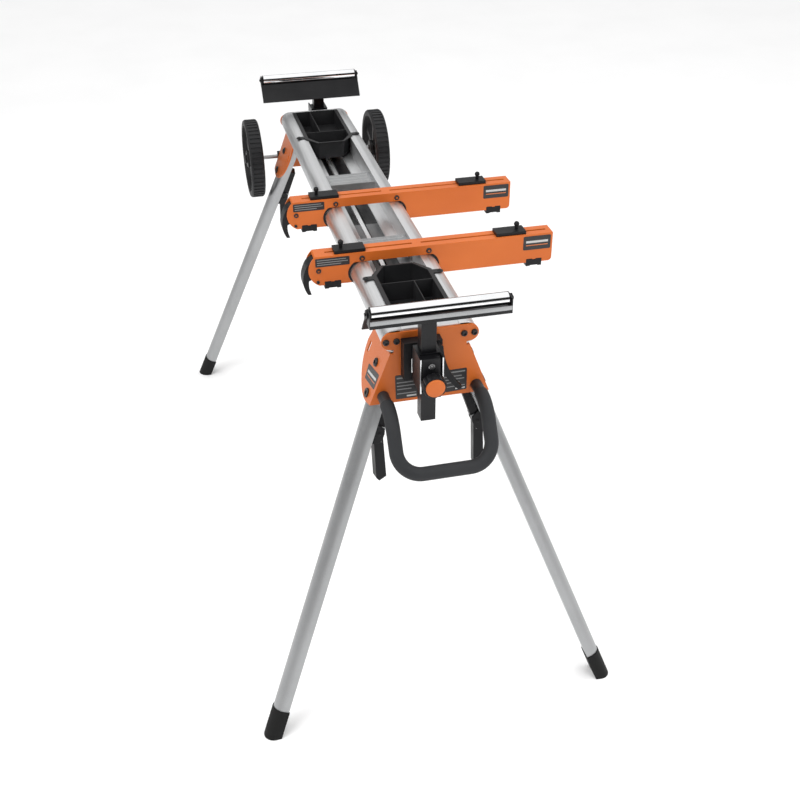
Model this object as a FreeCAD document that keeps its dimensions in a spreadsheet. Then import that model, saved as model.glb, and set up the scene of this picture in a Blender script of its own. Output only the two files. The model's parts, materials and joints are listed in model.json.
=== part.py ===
"""Portable folding stand for a mitre saw: aluminium bed on four folding legs, two sliding
mounting arms, two telescopic work supports, transport wheels and a carry handle.

Frame: X runs along the bed (carry handle at +X, wheels at -X), Y across it (the user stands
at -Y), Z up, with the origin on the floor under the middle of the bed.  Millimetres.
"""
import FreeCAD, Part
import math
import os
import re
import Sketcher

# name: (value in millimetres or degrees, what it is)
SIZES = {
    "bed_length": (1194, "length of the two rails"),
    "bed_width": (176, "over the outsides of the rails"),
    "bed_height": (825, "floor to the top of the rails"),
    "rail_width": (35, "hollow part of one rail, across"),
    "rail_height": (45, "hollow part of one rail, high"),
    "rail_wall": (2.5, "wall of the rail extrusion"),
    "ledge_width": (26, "ledge at the foot of a rail, facing inwards"),
    "ledge_thick": (3, "thickness of that ledge"),
    "tube_size": (27, "outside of the square extension tube and post"),
    "tube_wall": (2, "wall of those tubes"),
    "tube_offset": (21.5, "centre of an extension tube from the middle of the bed"),
    "tube_drop": (61, "bed top down to the top of the extension tubes"),
    "tube_length": (1120, "length of one extension tube"),
    "slide_gap": (0.4, "clearance on each side of a sliding tube"),
    "sleeve_length": (176, "guide sleeve round an extension tube"),
    "sleeve_wall": (1.6, "wall of the guide sleeve"),
    "spine_width": (9, "flat bar between the two extension tubes"),
    "spine_height": (30, "depth of that bar"),
    "cross_width": (60, "cross member, along the bed"),
    "cross_sheet": (3, "thickness of the cross members"),
    "cross_drop": (10, "bed top down to the top of a cross member"),
    "cross_wheel_at": (-133, "middle of the wheel end cross member"),
    "cross_handle_at": (222, "middle of the handle end cross member"),
    "sheet": (3, "steel sheet of the end brackets"),
    "bracket_drop": (5, "bed top down to the top of the bracket"),
    "bracket_height": (145, "height of the bracket plate"),
    "ear_height": (34, "height of the bracket's ears"),
    "ear_reach": (90, "middle of the bed to the tip of an ear"),
    "fold_half": (72.7, "half width of the bracket at the top of its folds"),
    "fold_drop": (47, "bed top down to the top of the folds"),
    "wing_reach": (124, "bracket plate to the far edge of its side wing"),
    "splay": (20.86, "legs lean outwards, degrees"),
    "rake": (11.8, "legs lean towards the ends, degrees"),
    "pivot_inset": (45, "bracket face to the leg pivot"),
    "pivot_drop": (88, "bed top down to the leg pivot"),
    "pivot_radius": (5, "leg pivot bolt"),
    "leg_wide": (40, "leg section, along the bed"),
    "leg_deep": (28, "leg section, across"),
    "leg_wall": (2, "wall of the leg tube"),
    "foot_wall": (1.6, "rubber round the leg at the foot"),
    "foot_height": (46, "height of the foot cap"),
    "foot_sole": (7, "rubber under the end of the leg"),
    "lock_reach": (60, "leg pivot to the lock pin"),
    "lock_radius": (4, "lock pin"),
    "lever_down": (130, "leg pivot to the release lever's own pin"),
    "lever_tail": (88, "release lever's pin to its lower end"),
    "lever_thick": (18, "release lever, across the leg face"),
    "lever_wide": (24, "release lever, along the bed"),
    "running": (0.05, "radial clearance of a turning fit"),
    "bolt_radius": (3, "shank of the frame bolts"),
    "bolt_head": (6.2, "radius of the frame bolt heads"),
    "bolt_in": (62.4, "inner bolt of an ear, from the middle of the bed"),
    "bolt_out": (81.5, "outer bolt of an ear, from the middle of the bed"),
    "tray_length": (236, "parts tray, along the bed"),
    "tray_depth": (41, "parts tray, rim to underside"),
    "tray_wall": (2, "wall of the tray"),
    "tray_rim": (2.5, "thickness of the tray's rim"),
    "tray_lap": (6, "tray's rim over the top of a rail"),
    "tray_nose": (33, "half width of the tray's inner end"),
    "tray_bevel": (35, "length of the bevel at the inner end"),
    "tray_split": (77, "tray's inner end to its cross wall"),
    "tray_part": (14, "middle of the bed to the tray's long wall"),
    "tray_gap": (0.5, "clearance between the tray and the rails"),
    "tray_screw": (2.2, "tray screw radius"),
    "tray_screw_in": (19, "inner face of a rail to a tray screw"),
    "trim_length": (14, "end trim between the rails"),
    "post_out": (57, "bracket face to the middle of the post"),
    "post_length": (199, "length of the post"),
    "clamp_width": (43, "post clamp, across"),
    "clamp_height": (70, "post clamp, high"),
    "clamp_web": (3.5, "cheeks of the post clamp"),
    "clamp_front": (21, "post face to the front of the cheeks"),
    "clamp_base": (80, "bed top down to the foot of the post clamp"),
    "knob_radius": (20, "clamp knob"),
    "knob_depth": (19, "clamp knob, front to back"),
    "knob_drop": (55.5, "bed top down to the knob's axis"),
    "roller_radius": (11.5, "work support roller"),
    "roller_length": (244, "work support roller"),
    "roller_rise": (82, "bed top up to the top of the roller"),
    "roller_pin": (3, "roller axle radius"),
    "cheek": (2.5, "end plates of the roller bracket"),
    "saddle_drop": (22, "roller axis down to the floor of its bracket"),
    "lip_height": (15, "outer lip of the roller bracket"),
    "stop_length": (48, "flip-up stop, from the roller outwards"),
    "stop_thick": (3, "flip-up stop"),
    "stop_angle": (52, "stop hangs this far below level, degrees"),
    "handle_radius": (11, "carry handle tube"),
    "handle_half": (88, "middle of the bed to the side tubes of the handle"),
    "handle_drop": (133, "bed top down to the handle's ends"),
    "handle_straight": (64, "level part of the handle"),
    "handle_out": (127, "bracket face to the bar of the handle"),
    "handle_fall": (92, "handle's ends down to its bar"),
    "handle_bend": (44, "bend radius at the bar"),
    "grip_radius": (13, "foam grip on the handle"),
    "axle_radius": (5, "wheel axle"),
    "axle_out": (8, "bracket face to the axle"),
    "axle_drop": (121, "bed top down to the axle"),
    "wheel_radius": (101.3, "transport wheel"),
    "wheel_width": (35.5, "transport wheel"),
    "wheel_inner": (149, "middle of the bed to the inside of a wheel"),
    "tyre_depth": (15, "tread ring of the wheel, radially"),
    "hub_radius": (22, "hub of the wheel"),
    "arm_width": (37, "mounting arm, along the bed"),
    "arm_rise": (20, "top of the arm above the bed"),
    "arm_depth": (62, "depth of the arm"),
    "arm_front": (171, "middle of the bed to the user's end of the arm"),
    "arm_back": (330, "middle of the bed to the far end of the arm"),
    "rail_tie": (71, "middle of the bed to the arm's bolts over the rails"),
    "arm_sheet": (2.5, "steel sheet of the arm"),
    "arm_nose": (36, "radius of the user's end of the arm"),
    "arm_gap": (0.6, "clearance between an arm and the rails"),
    "arm_handle_at": (299, "handle end arm, from the middle of the bed"),
    "arm_wheel_at": (25, "wheel end arm, from the middle of the bed"),
    "pad_thick": (4, "black pad that lines the arm over the rails"),
    "slot_half": (2.6, "half width of the arm's top slots"),
    "cam_drop": (10, "bed top down to the arm lever's pin"),
    "cam_front": (151, "middle of the bed to the arm lever's pin"),
    "saddle_length": (62, "saw mounting plate, along the arm"),
    "saddle_thick": (7, "saw mounting plate"),
    "saddle_front_at": (-87, "user's side mounting plate"),
    "saddle_back_at": (243, "far mounting plate"),
    "stud_radius": (3.6, "stud of the mounting plate"),
    "housing_depth": (22, "extension lock housing"),
    "housing_height": (75, "extension lock housing"),
    "crank_thick": (11, "extension lock lever"),
}

doc = FreeCAD.newDocument("saw_stand")
sheet = doc.addObject("Spreadsheet::Sheet", "Sizes")
for row, (alias, (value, note)) in enumerate(SIZES.items(), start=1):
    sheet.set("A%d" % row, note)
    sheet.set("B%d" % row, str(value))
    sheet.setAlias("B%d" % row, alias)
doc.recompute()

NODES = {}
ORIGIN = FreeCAD.Vector(0, 0, 0)
HALF_TURN = ("Z", 180)


# ---------------------------------------------------------------- helpers
def bind(text):
    """Turn a formula in size names into a formula on the sheet's cells."""
    return re.sub(r"[a-z][a-z_]*", lambda m: "Sizes." + m.group(0) if m.group(0) in SIZES
                  else m.group(0), str(text))


def number(text):
    """Value of a formula now."""
    return float(sheet.evalExpression(bind(text)))


def frame(at=(0, 0, 0), *turns):
    """Placement formula: move to a point, then turn about each named axis in order."""
    text = "placement(vector(%s; %s; %s); rotation(vector(0; 0; 1); 0))" % tuple(at)
    for axis, angle in turns:
        along = {"X": "1; 0; 0", "Y": "0; 1; 0", "Z": "0; 0; 1"}[axis]
        text += " * placement(vector(0; 0; 0); rotation(vector(%s); %s))" % (along, angle)
    return text


def put(item, at=(0, 0, 0), *turns):
    item.setExpression("Placement", bind(frame(at, *turns)))
    return item


def box(size, at, *turns):
    """Box by its three sizes and its lowest corner."""
    item = doc.addObject("Part::Box", "Block")
    for name, formula in zip(("Length", "Width", "Height"), size):
        item.setExpression(name, bind(formula))
    return put(item, at, *turns)


def rod(radius, length, at, *turns):
    """Cylinder from a point along +Z, before its turns."""
    item = doc.addObject("Part::Cylinder", "Rod")
    item.setExpression("Radius", bind(radius))
    item.setExpression("Height", bind(length))
    return put(item, at, *turns)


def cone(low, high, length, at, *turns):
    item = doc.addObject("Part::Cone", "Taper")
    for name, formula in (("Radius1", low), ("Radius2", high), ("Height", length)):
        item.setExpression(name, bind(formula))
    return put(item, at, *turns)


def fuse(*items):
    item = doc.addObject("Part::MultiFuse", "Joined")
    item.Shapes = list(items)
    return item


def group(*items):
    """Separate solids that share one node."""
    item = doc.addObject("Part::Compound", "Set")
    item.Links = list(items)
    return item


def cut(base, *tools):
    item = doc.addObject("Part::Cut", "Trimmed")
    item.Base = base
    item.Tool = tools[0] if len(tools) == 1 else group(*tools)
    return item


def mirror(item, normal):
    """Copy on the other side of a plane through the origin."""
    copy = doc.addObject("Part::Mirroring", "Mirrored")
    copy.Source = item
    copy.Normal = normal
    copy.Base = ORIGIN
    return copy


def outline(points, plane):
    """Closed sketch.  A point is (across, up) or (across, up, side, radius): the stretch that
    arrives at it is then an arc with its centre on that side of the way there."""
    sketch = doc.addObject("Sketcher::SketchObject", "Outline")
    turn = {"XY": FreeCAD.Rotation(), "XZ": FreeCAD.Rotation(FreeCAD.Vector(1, 0, 0), 90),
            "YZ": FreeCAD.Rotation(FreeCAD.Vector(1, 1, 1), 120)}[plane]
    sketch.Placement = FreeCAD.Placement(ORIGIN, turn)
    corners = [FreeCAD.Vector(number(point[0]), number(point[1]), 0) for point in points]
    count = len(points)
    starts, ends = [], []
    for index in range(count):
        here, there = corners[index], corners[(index + 1) % count]
        arrival = points[(index + 1) % count]
        if len(arrival) == 2:
            sketch.addGeometry(Part.LineSegment(here, there), False)
            starts.append(1)
            ends.append(2)
            continue
        radius = number(arrival[3])
        chord = there - here
        rise = radius - math.sqrt(max(radius ** 2 - (chord.Length / 2) ** 2, 0))
        sideways = FreeCAD.Vector(chord.y, -chord.x, 0).normalize() * rise
        middle = (here + there) / 2
        if arrival[2] == "left":
            sketch.addGeometry(Part.Arc(here, middle + sideways, there), False)
            starts.append(1)
            ends.append(2)
        else:
            sketch.addGeometry(Part.Arc(there, middle - sideways, here), False)
            starts.append(2)
            ends.append(1)
    for index in range(count):
        after = (index + 1) % count
        sketch.addConstraint(Sketcher.Constraint("Coincident", index, ends[index],
                                                 after, starts[after]))
    for index, point in enumerate(points):
        for kind, formula, value in (("DistanceX", point[0], corners[index].x),
                                     ("DistanceY", point[1], corners[index].y)):
            rule = sketch.addConstraint(Sketcher.Constraint(kind, -1, 1, index,
                                                            starts[index], value))
            sketch.setExpression("Constraints[%d]" % rule, bind(formula))
        if len(point) > 2:
            curve = (index - 1) % count
            rule = sketch.addConstraint(Sketcher.Constraint("Radius", curve, number(point[3])))
            sketch.setExpression("Constraints[%d]" % rule, bind(point[3]))
    return sketch


def mirrored(points):
    """The other half of a symmetric outline, walked back from its last point to its first."""
    back = []
    for index in range(len(points) - 2, 0, -1):
        here, after = points[index], points[index + 1]
        turned = ("-(%s)" % here[0], here[1])
        back.append(turned + tuple(after[2:]) if len(after) > 2 else turned)
    return back


def prism(points, plane, depth, middle="0"):
    """Outline drawn out evenly to both sides of its plane, which lies at the given place."""
    item = doc.addObject("Part::Extrusion", "Prism")
    item.Base = outline(points, plane)
    item.DirMode = "Normal"
    item.Solid = True
    item.Symmetric = True
    item.setExpression("LengthFwd", bind(depth))
    at = {"XY": ("0", "0", middle), "XZ": ("0", middle, "0"), "YZ": (middle, "0", "0")}[plane]
    return put(item, at)


def node(label, item, at=None, *turns):
    """Name a finished sub-part and put it in its place."""
    if at is not None:
        put(item, at, *turns)
    item.Label = label
    NODES[label] = item
    return item


ENDS = {"handle": 1, "wheel": -1}
SIDES = {"front": -1, "rear": 1}


def at_end(end):
    """Turns that carry a handle end piece to its own end of the stand."""
    return [] if end == "handle" else [HALF_TURN]


def side_at(end, side):
    """Side of the stand that a piece is on once the half turn has carried it to its end."""
    return side if end == "handle" else {"front": "rear", "rear": "front"}[side]


# ---------------------------------------------------------------- the bed
rail_in = "(bed_width / 2 - rail_width)"
rail_low = "(bed_height - rail_height)"
nose = "(rail_height / 2)"
face = "(bed_length / 2 + sheet)"
tray_out = "(bed_length / 2 - trim_length)"
tray_in = "(bed_length / 2 - trim_length - tray_length)"
tray_ear_x = "(bed_length / 2 - trim_length - tray_length + tray_bevel + 12)"
tray_ear = "(bed_width / 2 - rail_width + tray_screw_in)"
tray_edge = "(bed_width / 2 - rail_width + tray_lap)"


def rail(label, *turns):
    """Hollow extrusion: bull-nosed outside, flat inside, a ledge along its foot."""
    centre = "bed_width / 2 - rail_height / 2"
    shell = prism([(rail_in, "bed_height"), (rail_in, rail_low + " + ledge_thick"),
                   (rail_in + " - ledge_width", rail_low + " + ledge_thick"),
                   (rail_in + " - ledge_width", rail_low), (centre, rail_low),
                   ("bed_width / 2", "bed_height - rail_height / 2", "left", nose),
                   (centre, "bed_height", "left", nose)], "YZ", "bed_length")
    bore = prism([(rail_in + " + rail_wall", "bed_height - rail_wall"),
                  (rail_in + " + rail_wall", rail_low + " + rail_wall"),
                  (centre, rail_low + " + rail_wall"),
                  ("bed_width / 2 - rail_wall", "bed_height - rail_height / 2", "left",
                   nose + " - rail_wall"),
                  (centre, "bed_height - rail_wall", "left", nose + " - rail_wall")],
                 "YZ", "bed_length + 2")
    holes = [rod("tray_screw", "rail_wall + 5",
                 ("%d * %s" % (way, tray_ear_x), tray_ear, "bed_height - rail_wall - 4"))
             for way in (1, -1)]
    return node(label, cut(shell, bore, *holes), (0, 0, 0), *turns)


rail("rail_rear")
rail("rail_front", HALF_TURN)

tube_top = "(bed_height - tube_drop)"
tube_mid = "(bed_height - tube_drop - tube_size / 2)"
node("centre_spine", box(("bed_length", "spine_width", "spine_height"),
                         ("-bed_length / 2", "-spine_width / 2", tube_top + " - spine_height")))


def cross_member(end, place):
    """Pressed plate across the bed with a leg down to each ledge and two stiffening ribs."""
    top = "(bed_height - cross_drop)"
    inside = "(2 * %s)" % rail_in
    ledge = "(%s + ledge_thick)" % rail_low
    plate = box(("cross_width", inside, "cross_sheet"),
                (place + " - cross_width / 2", "-" + rail_in, top + " - cross_sheet"))
    legs = [box(("cross_width", "cross_sheet", "%s - %s" % (top, ledge)),
                (place + " - cross_width / 2", y, ledge))
            for y in ("-" + rail_in, rail_in + " - cross_sheet")]
    ribs = [rod("2.5", inside + " - 16",
                (place + " %+d" % shift, "-%s + 8" % rail_in, top + " - 1"), ("X", -90))
            for shift in (-16, 0, 16)]
    skirt = box(("cross_sheet", inside, "cross_drop + 12"),
                (place + " + cross_width / 2 - cross_sheet", "-" + rail_in,
                 top + " - cross_drop - 12"))
    node("cross_member_" + end, fuse(plate, skirt, *legs, *ribs))


cross_member("wheel", "cross_wheel_at")
cross_member("handle", "cross_handle_at")

sleeve_in = "(tube_size + 2 * slide_gap)"
sleeve_out = "(tube_size + 2 * slide_gap + 2 * sleeve_wall)"


def sleeve(sign):
    """Square guide round one extension tube, in the middle of the bed."""
    start = "cross_handle_at - cross_width / 2 - sleeve_length"
    outer = box(("sleeve_length", sleeve_out, sleeve_out),
                (start, "%d * tube_offset - %s / 2" % (sign, sleeve_out),
                 tube_mid + " - %s / 2" % sleeve_out))
    inner = box(("sleeve_length + 2", sleeve_in, sleeve_in),
                (start + " - 1", "%d * tube_offset - %s / 2" % (sign, sleeve_in),
                 tube_mid + " - %s / 2" % sleeve_in))
    return cut(outer, inner)


spacers = [box(("30", "2 * tube_offset - %s" % sleeve_out, "12"),
               (start, "%s / 2 - tube_offset" % sleeve_out, tube_mid + " - 6"))
           for start in ("cross_handle_at - cross_width / 2 - sleeve_length + 8",
                         "cross_handle_at - cross_width / 2 - 38")]
spacer_slot = box(("bed_length", "spine_width", "spine_height"),
                  ("-bed_length / 2", "-spine_width / 2", tube_top + " - spine_height"))
node("tube_guides", cut(fuse(sleeve(-1), sleeve(1), *spacers), spacer_slot))

# ---------------------------------------------------------------- end brackets
plate_top = "(bed_height - bracket_drop)"
plate_low = "(bed_height - bracket_drop - bracket_height)"
fold_top = "(bed_height - fold_drop)"
fold_foot_half = "(fold_half + (bracket_height + bracket_drop - fold_drop) * tan(splay))"
pivot_z = "(bed_height - pivot_drop)"
pivot_x = "(%s - pivot_inset)" % face
wing_y = "(fold_half + (pivot_drop - fold_drop) * tan(splay))"
leg_inset = "(sheet / 2 + slide_gap + leg_deep / 2)"
leg_y = "(%s - %s * cos(splay))" % (wing_y, leg_inset)
leg_z = "(%s - %s * sin(splay))" % (pivot_z, leg_inset)


def wing_frame(side, *turns):
    """Placement at a leg's pivot on the wing: Z up the wing, Y outwards for the rear side."""
    sign = SIDES[side]
    return (pivot_x, "%d * %s" % (sign, wing_y), pivot_z), ("X", "%d * splay" % sign)


def wing(side):
    """Side wing of a bracket, drawn about the leg pivot and leant to the legs' splay."""
    up = "((pivot_drop - fold_drop) / cos(splay))"
    down = "((bracket_height + bracket_drop - pivot_drop) / cos(splay))"
    sweep = "(wing_reach - pivot_inset)"
    blade = prism([("pivot_inset", up), ("pivot_inset", "-" + down),
                   ("pivot_inset - 22", "-%s - 6" % down),
                   ("-%s * 0.53" % sweep, "-%s * 0.72" % sweep, "right", sweep),
                   ("-" + sweep, "6", "right", sweep),
                   ("8 - " + sweep, "pivot_drop - bracket_drop - 46")], "XZ", "sheet")
    holes = [rod("pivot_radius", "4 * sheet", (0, "2 * sheet", 0), ("X", 90)),
             rod("lock_radius + 3", "4 * sheet",
                 ("lock_reach * sin(rake)", "2 * sheet", "-lock_reach * cos(rake)"), ("X", 90)),
             box(("9", "4 * sheet", "22"), ("-lock_reach - 4.5", "-2 * sheet", "-11"))]
    at, turn = wing_frame(side)
    return put(cut(blade, *holes), at, turn)


def bracket(end):
    """Sheet steel end bracket: ears on the rails, a plate, and a folded wing each side."""
    arc = "(ear_height / 2)"
    mid = "(%s - ear_height / 2)" % plate_top
    right = [("0", plate_top), ("ear_reach - " + arc, plate_top),
             ("ear_reach", mid, "right", arc),
             ("ear_reach - " + arc, "%s - ear_height" % plate_top, "right", arc),
             ("fold_half - 5", "%s - ear_height" % plate_top),
             ("fold_half - 5", fold_top), ("fold_half", fold_top),
             (fold_foot_half, plate_low), ("0", plate_low)]
    plate_points = right + mirrored(right)
    plate = prism(plate_points, "YZ", "sheet", "%s - sheet / 2" % face)
    window = box(("4 * sheet", sleeve_in, sleeve_in),
                 (face + " - 2 * sheet", "-tube_offset - %s / 2" % sleeve_in,
                  tube_mid + " - %s / 2" % sleeve_in))
    bolts = [rod("bolt_radius", "4 * sheet", (face + " - 2 * sheet", "%d * %s" % (way, far),
                                              mid), ("Y", 90))
             for way in (1, -1) for far in ("bolt_in", "bolt_out")]
    body = fuse(plate, wing("front"), wing("rear"))
    return node("bracket_" + end, cut(body, window, *bolts), (0, 0, 0), *at_end(end))


for name in ENDS:
    bracket(name)

# ---------------------------------------------------------------- legs
leg_reach = "(%s / (cos(splay) * cos(rake)))" % leg_z
leg_end = "(%s - foot_sole - leg_wide / 2 * tan(rake) - leg_deep / 2 * tan(splay))" % leg_reach
lever_gap = "1"
lever_pin_y = "(-leg_deep / 2 - %s - lever_thick / 2)" % lever_gap


def leg_frame(side):
    """Place and turns of a leg: pivot at its origin, its length along -Z, +Y outwards."""
    sign = SIDES[side]
    at = (pivot_x, "%d * %s" % (sign, leg_y), leg_z)
    turns = [("X", "%d * splay" % sign), ("Y", "-rake")]
    return [at] + turns + ([HALF_TURN] if side == "front" else [])


def leg_section(grow, bottom, top):
    """D shaped column: half round outside, flat inside, each face moved out by grow."""
    half, deep = "(leg_wide / 2 + %s)" % grow, "(leg_deep / 2 + %s)" % grow
    points = [("-" + half, "-" + deep), (half, "-" + deep), (half, "%s - %s" % (deep, half)),
              ("0", deep, "left", half), ("-" + half, "%s - %s" % (deep, half), "left", half)]
    return prism(points, "XY", "%s - (%s)" % (top, bottom), "(%s + (%s)) / 2" % (top, bottom))


def leg(end, side):
    """Tube with its pivot and lock holes, two lugs for the release lever, and the lock pin."""
    tube = cut(leg_section("0", "-" + leg_end, "22"),
               leg_section("(-leg_wall)", "-%s - 1" % leg_end, "23"))
    inner = "(leg_deep / 2)"
    lug_y = "-%s - %s - lever_thick" % (inner, lever_gap)
    lugs = [box(("leg_wall", "lever_thick + %s" % lever_gap, "30"), (x, lug_y, "-lever_down - 15"))
            for x in ("-lever_wide / 2 - slide_gap - leg_wall", "lever_wide / 2 + slide_gap")]
    bores = [rod("pivot_radius + running", "leg_deep + 2", (0, "leg_deep / 2 + 1", 0), ("X", 90)),
             rod("lock_radius", "leg_deep + 2", (0, "leg_deep / 2 + 1", "-lock_reach"), ("X", 90)),
             rod("3 + running", "leg_wide", ("-leg_wide / 2", lever_pin_y, "-lever_down"),
                 ("Y", 90))]
    pin = rod("lock_radius", "leg_deep", (0, "leg_deep / 2", "-lock_reach"), ("X", 90))
    placed = put(group(cut(fuse(tube, *lugs), *bores), pin), *leg_frame(side))
    return node("leg_%s_%s" % (end, side_at(end, side)), group(placed), (0, 0, 0), *at_end(end))


def foot(end, side):
    """Rubber cap over the end of the leg, cut flat where it stands on the floor."""
    block = leg_section("foot_wall", "-%s - foot_sole - 24" % leg_end, "foot_height - " + leg_end)
    pocket = leg_section("0", "-" + leg_end, "foot_height + 1 - " + leg_end)
    cap = put(cut(block, pocket), *leg_frame(side))
    floor = box(("bed_length", "bed_length", "200"), ("0", "-bed_length / 2", "-200"))
    return node("foot_%s_%s" % (end, side_at(end, side)), cut(cap, floor), (0, 0, 0), *at_end(end))


def release_lever(end, side):
    """Squeeze lever on the inside of a leg: short arm to the lock pin, tail hanging plumb."""
    flat = "(-leg_deep / 2 - %s)" % lever_gap
    back = "(%s - lever_thick)" % flat
    low = "(-lever_down - 6)"
    tail_y, tail_z = "lever_tail * sin(splay)", "lever_tail * cos(splay)"
    points = [(flat, "10 - lock_reach"), (flat, low),
              ("%s - %s" % (flat, tail_y), "%s - %s" % (low, tail_z)),
              ("%s - %s - 7" % (flat, tail_y), "%s - %s - 4" % (low, tail_z)),
              ("%s - %s" % (back, tail_y), "%s - %s + 8" % (low, tail_z)),
              (back, low + " + 4"), ("%s + 4" % back, "10 - lock_reach")]
    blade = prism(points, "YZ", "lever_wide")
    pin = rod("3", "lever_wide + 2 * (slide_gap + leg_wall) + 2",
              ("-lever_wide / 2 - slide_gap - leg_wall - 1", lever_pin_y, "-lever_down"), ("Y", 90))
    placed = put(fuse(blade, pin), *leg_frame(side))
    return node("release_lever_%s_%s" % (end, side_at(end, side)), group(placed), (0, 0, 0), *at_end(end))


def pivot_bolt(end, side):
    """Bolt through a wing and its leg, with its head outside and its nut inside."""
    at, turn = wing_frame(side)
    turns = [turn] + ([HALF_TURN] if side == "front" else [])
    inside = "(sheet / 2 + 2 * slide_gap + leg_deep)"
    shank = rod("pivot_radius", "sheet / 2 + " + inside, (0, "sheet / 2", 0), ("X", 90))
    head = rod("pivot_radius + 3.5", "4", (0, "sheet / 2 + 4", 0), ("X", 90))
    nut = rod("pivot_radius + 3.5", "6", (0, "-" + inside, 0), ("X", 90))
    return put(fuse(shank, head, nut), at, *turns)


def lock_bush(end, side):
    """Collared bush in a wing, where the lock pin engages."""
    at, turn = wing_frame(side)
    turns = [turn, ("Y", "-rake")] + ([HALF_TURN] if side == "front" else [])
    shank = rod("lock_radius + 3", "sheet", (0, "sheet / 2", "-lock_reach"), ("X", 90))
    collar = rod("lock_radius + 5", "3", (0, "sheet / 2 + 3", "-lock_reach"), ("X", 90))
    bore = rod("lock_radius + 0.3", "4 * sheet", (0, "2 * sheet", "-lock_reach"), ("X", 90))
    return put(cut(fuse(shank, collar), bore), at, *turns)


def both_ends(make):
    """Same four pieces at both ends, as one node's separate solids."""
    here = group(*[make("handle", side) for side in SIDES])
    there = put(group(*[make("wheel", side) for side in SIDES]), (0, 0, 0), HALF_TURN)
    return group(here, there)


for end in ENDS:
    for side in SIDES:
        leg(end, side)
        foot(end, side)
        release_lever(end, side)
node("pivot_bolts", both_ends(pivot_bolt))
node("lock_bushes", both_ends(lock_bush))


def ear_bolts(end, side):
    """Two bolts that hold one ear to its rail."""
    mid = "(%s - ear_height / 2)" % plate_top
    made = []
    for far in ("bolt_in", "bolt_out"):
        y = "%d * %s" % (SIDES[side], far)
        made.append(fuse(rod("bolt_radius", "sheet + 12", (face + " - sheet - 12", y, mid),
                             ("Y", 90)), rod("bolt_head", "5", (face, y, mid), ("Y", 90))))
    return group(*made)


def end_trim(end, side):
    """Bright strip that closes the bed between the rails, half to each side."""
    half = "%s - tray_gap" % rail_in
    low = "0" if side == "rear" else "-(%s)" % half
    return box(("trim_length", half, "cross_drop"), (tray_out, low, "bed_height - cross_drop"))


def tray(end):
    """Parts tray with three pockets, a bevelled inner end and two screwed ears."""
    floor_z = "(bed_height + tray_rim - tray_depth)"
    tub_half = "(%s - tray_gap)" % rail_in
    tub_nose = "(tray_nose - 3)"

    def ring(half, blunt, near, far):
        bevel = "%s + tray_bevel" % near
        return [(far, "-" + half), (far, half), (bevel, half), (near, blunt),
                (near, "-" + blunt), (bevel, "-" + half)]

    rim = prism(ring(tray_edge, "tray_nose", tray_in, tray_out), "XY", "tray_rim",
                "bed_height + tray_rim / 2")
    tub = prism(ring(tub_half, tub_nose, tray_in + " + 2", tray_out), "XY", "tray_depth",
                floor_z + " + tray_depth / 2")
    ears = []
    for way in (1, -1):
        ears.append(rod("tray_screw + 5", "tray_rim", (tray_ear_x, "%d * %s" % (way, tray_ear),
                                                       "bed_height")))
        low = tray_edge + " - 6" if way > 0 else "-" + tray_ear
        ears.append(box(("2 * (tray_screw + 5)", "%s - %s + 6" % (tray_ear, tray_edge), "tray_rim"),
                        (tray_ear_x + " - tray_screw - 5", low, "bed_height")))
    split = "(%s + tray_split)" % tray_in
    middle = floor_z + " + tray_wall + tray_depth / 2"
    inside = "(%s - tray_wall)" % tub_half
    pockets = [prism([(split + " - tray_wall / 2", "-" + inside),
                      (split + " - tray_wall / 2", inside),
                      (tray_in + " + 4 + tray_bevel", inside),
                      (tray_in + " + 4", tub_nose + " - 1"), (tray_in + " + 4", "1 - " + tub_nose),
                      (tray_in + " + 4 + tray_bevel", "-" + inside)], "XY", "tray_depth", middle)]
    long_pocket = "%s - tray_wall - %s - tray_wall / 2" % (tray_out, split)
    for low, wide in (("-" + inside, "%s + tray_part - tray_wall / 2" % inside),
                      ("tray_part + tray_wall / 2", "%s - tray_part - tray_wall / 2" % inside)):
        pockets.append(box((long_pocket, wide, "tray_depth"),
                           (split + " + tray_wall / 2", low, floor_z + " + tray_wall")))
    holes = [rod("tray_screw", "tray_rim + 2", (tray_ear_x, "%d * %s" % (way, tray_ear),
                                                "bed_height - 1")) for way in (1, -1)]
    body = cut(fuse(rim, tub, *ears), *pockets, *holes)
    return node("tray_" + end, body, (0, 0, 0), *at_end(end))


def tray_screw(end, side):
    """Pan head screw through a tray ear into the rail."""
    y = "%d * %s" % (SIDES[side], tray_ear)
    return fuse(rod("tray_screw", "rail_wall + tray_rim + 3", (tray_ear_x, y,
                                                              "bed_height - rail_wall - 3")),
                cone("tray_screw + 2.2", "tray_screw + 1", "2", (tray_ear_x, y,
                                                                "bed_height + tray_rim")))


node("bracket_bolts", both_ends(ear_bolts))
node("end_trims", both_ends(end_trim))
for end in ENDS:
    tray(end)
node("tray_screws", both_ends(tray_screw))

# ---------------------------------------------------------------- extensions
post_x = "(%s + post_out)" % face
post_y = "(-tube_offset)"
bore_half = "(tube_size / 2 + slide_gap)"
clamp_back = "(%s - %s - clamp_web)" % (post_x, bore_half)
clamp_nose = "(%s + tube_size / 2 + clamp_front)" % post_x
clamp_low = "(bed_height - clamp_base)"
axis_z = "(bed_height + roller_rise - roller_radius)"
post_top = "(%s - saddle_drop)" % axis_z
knob_z = "(bed_height - knob_drop)"


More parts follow.
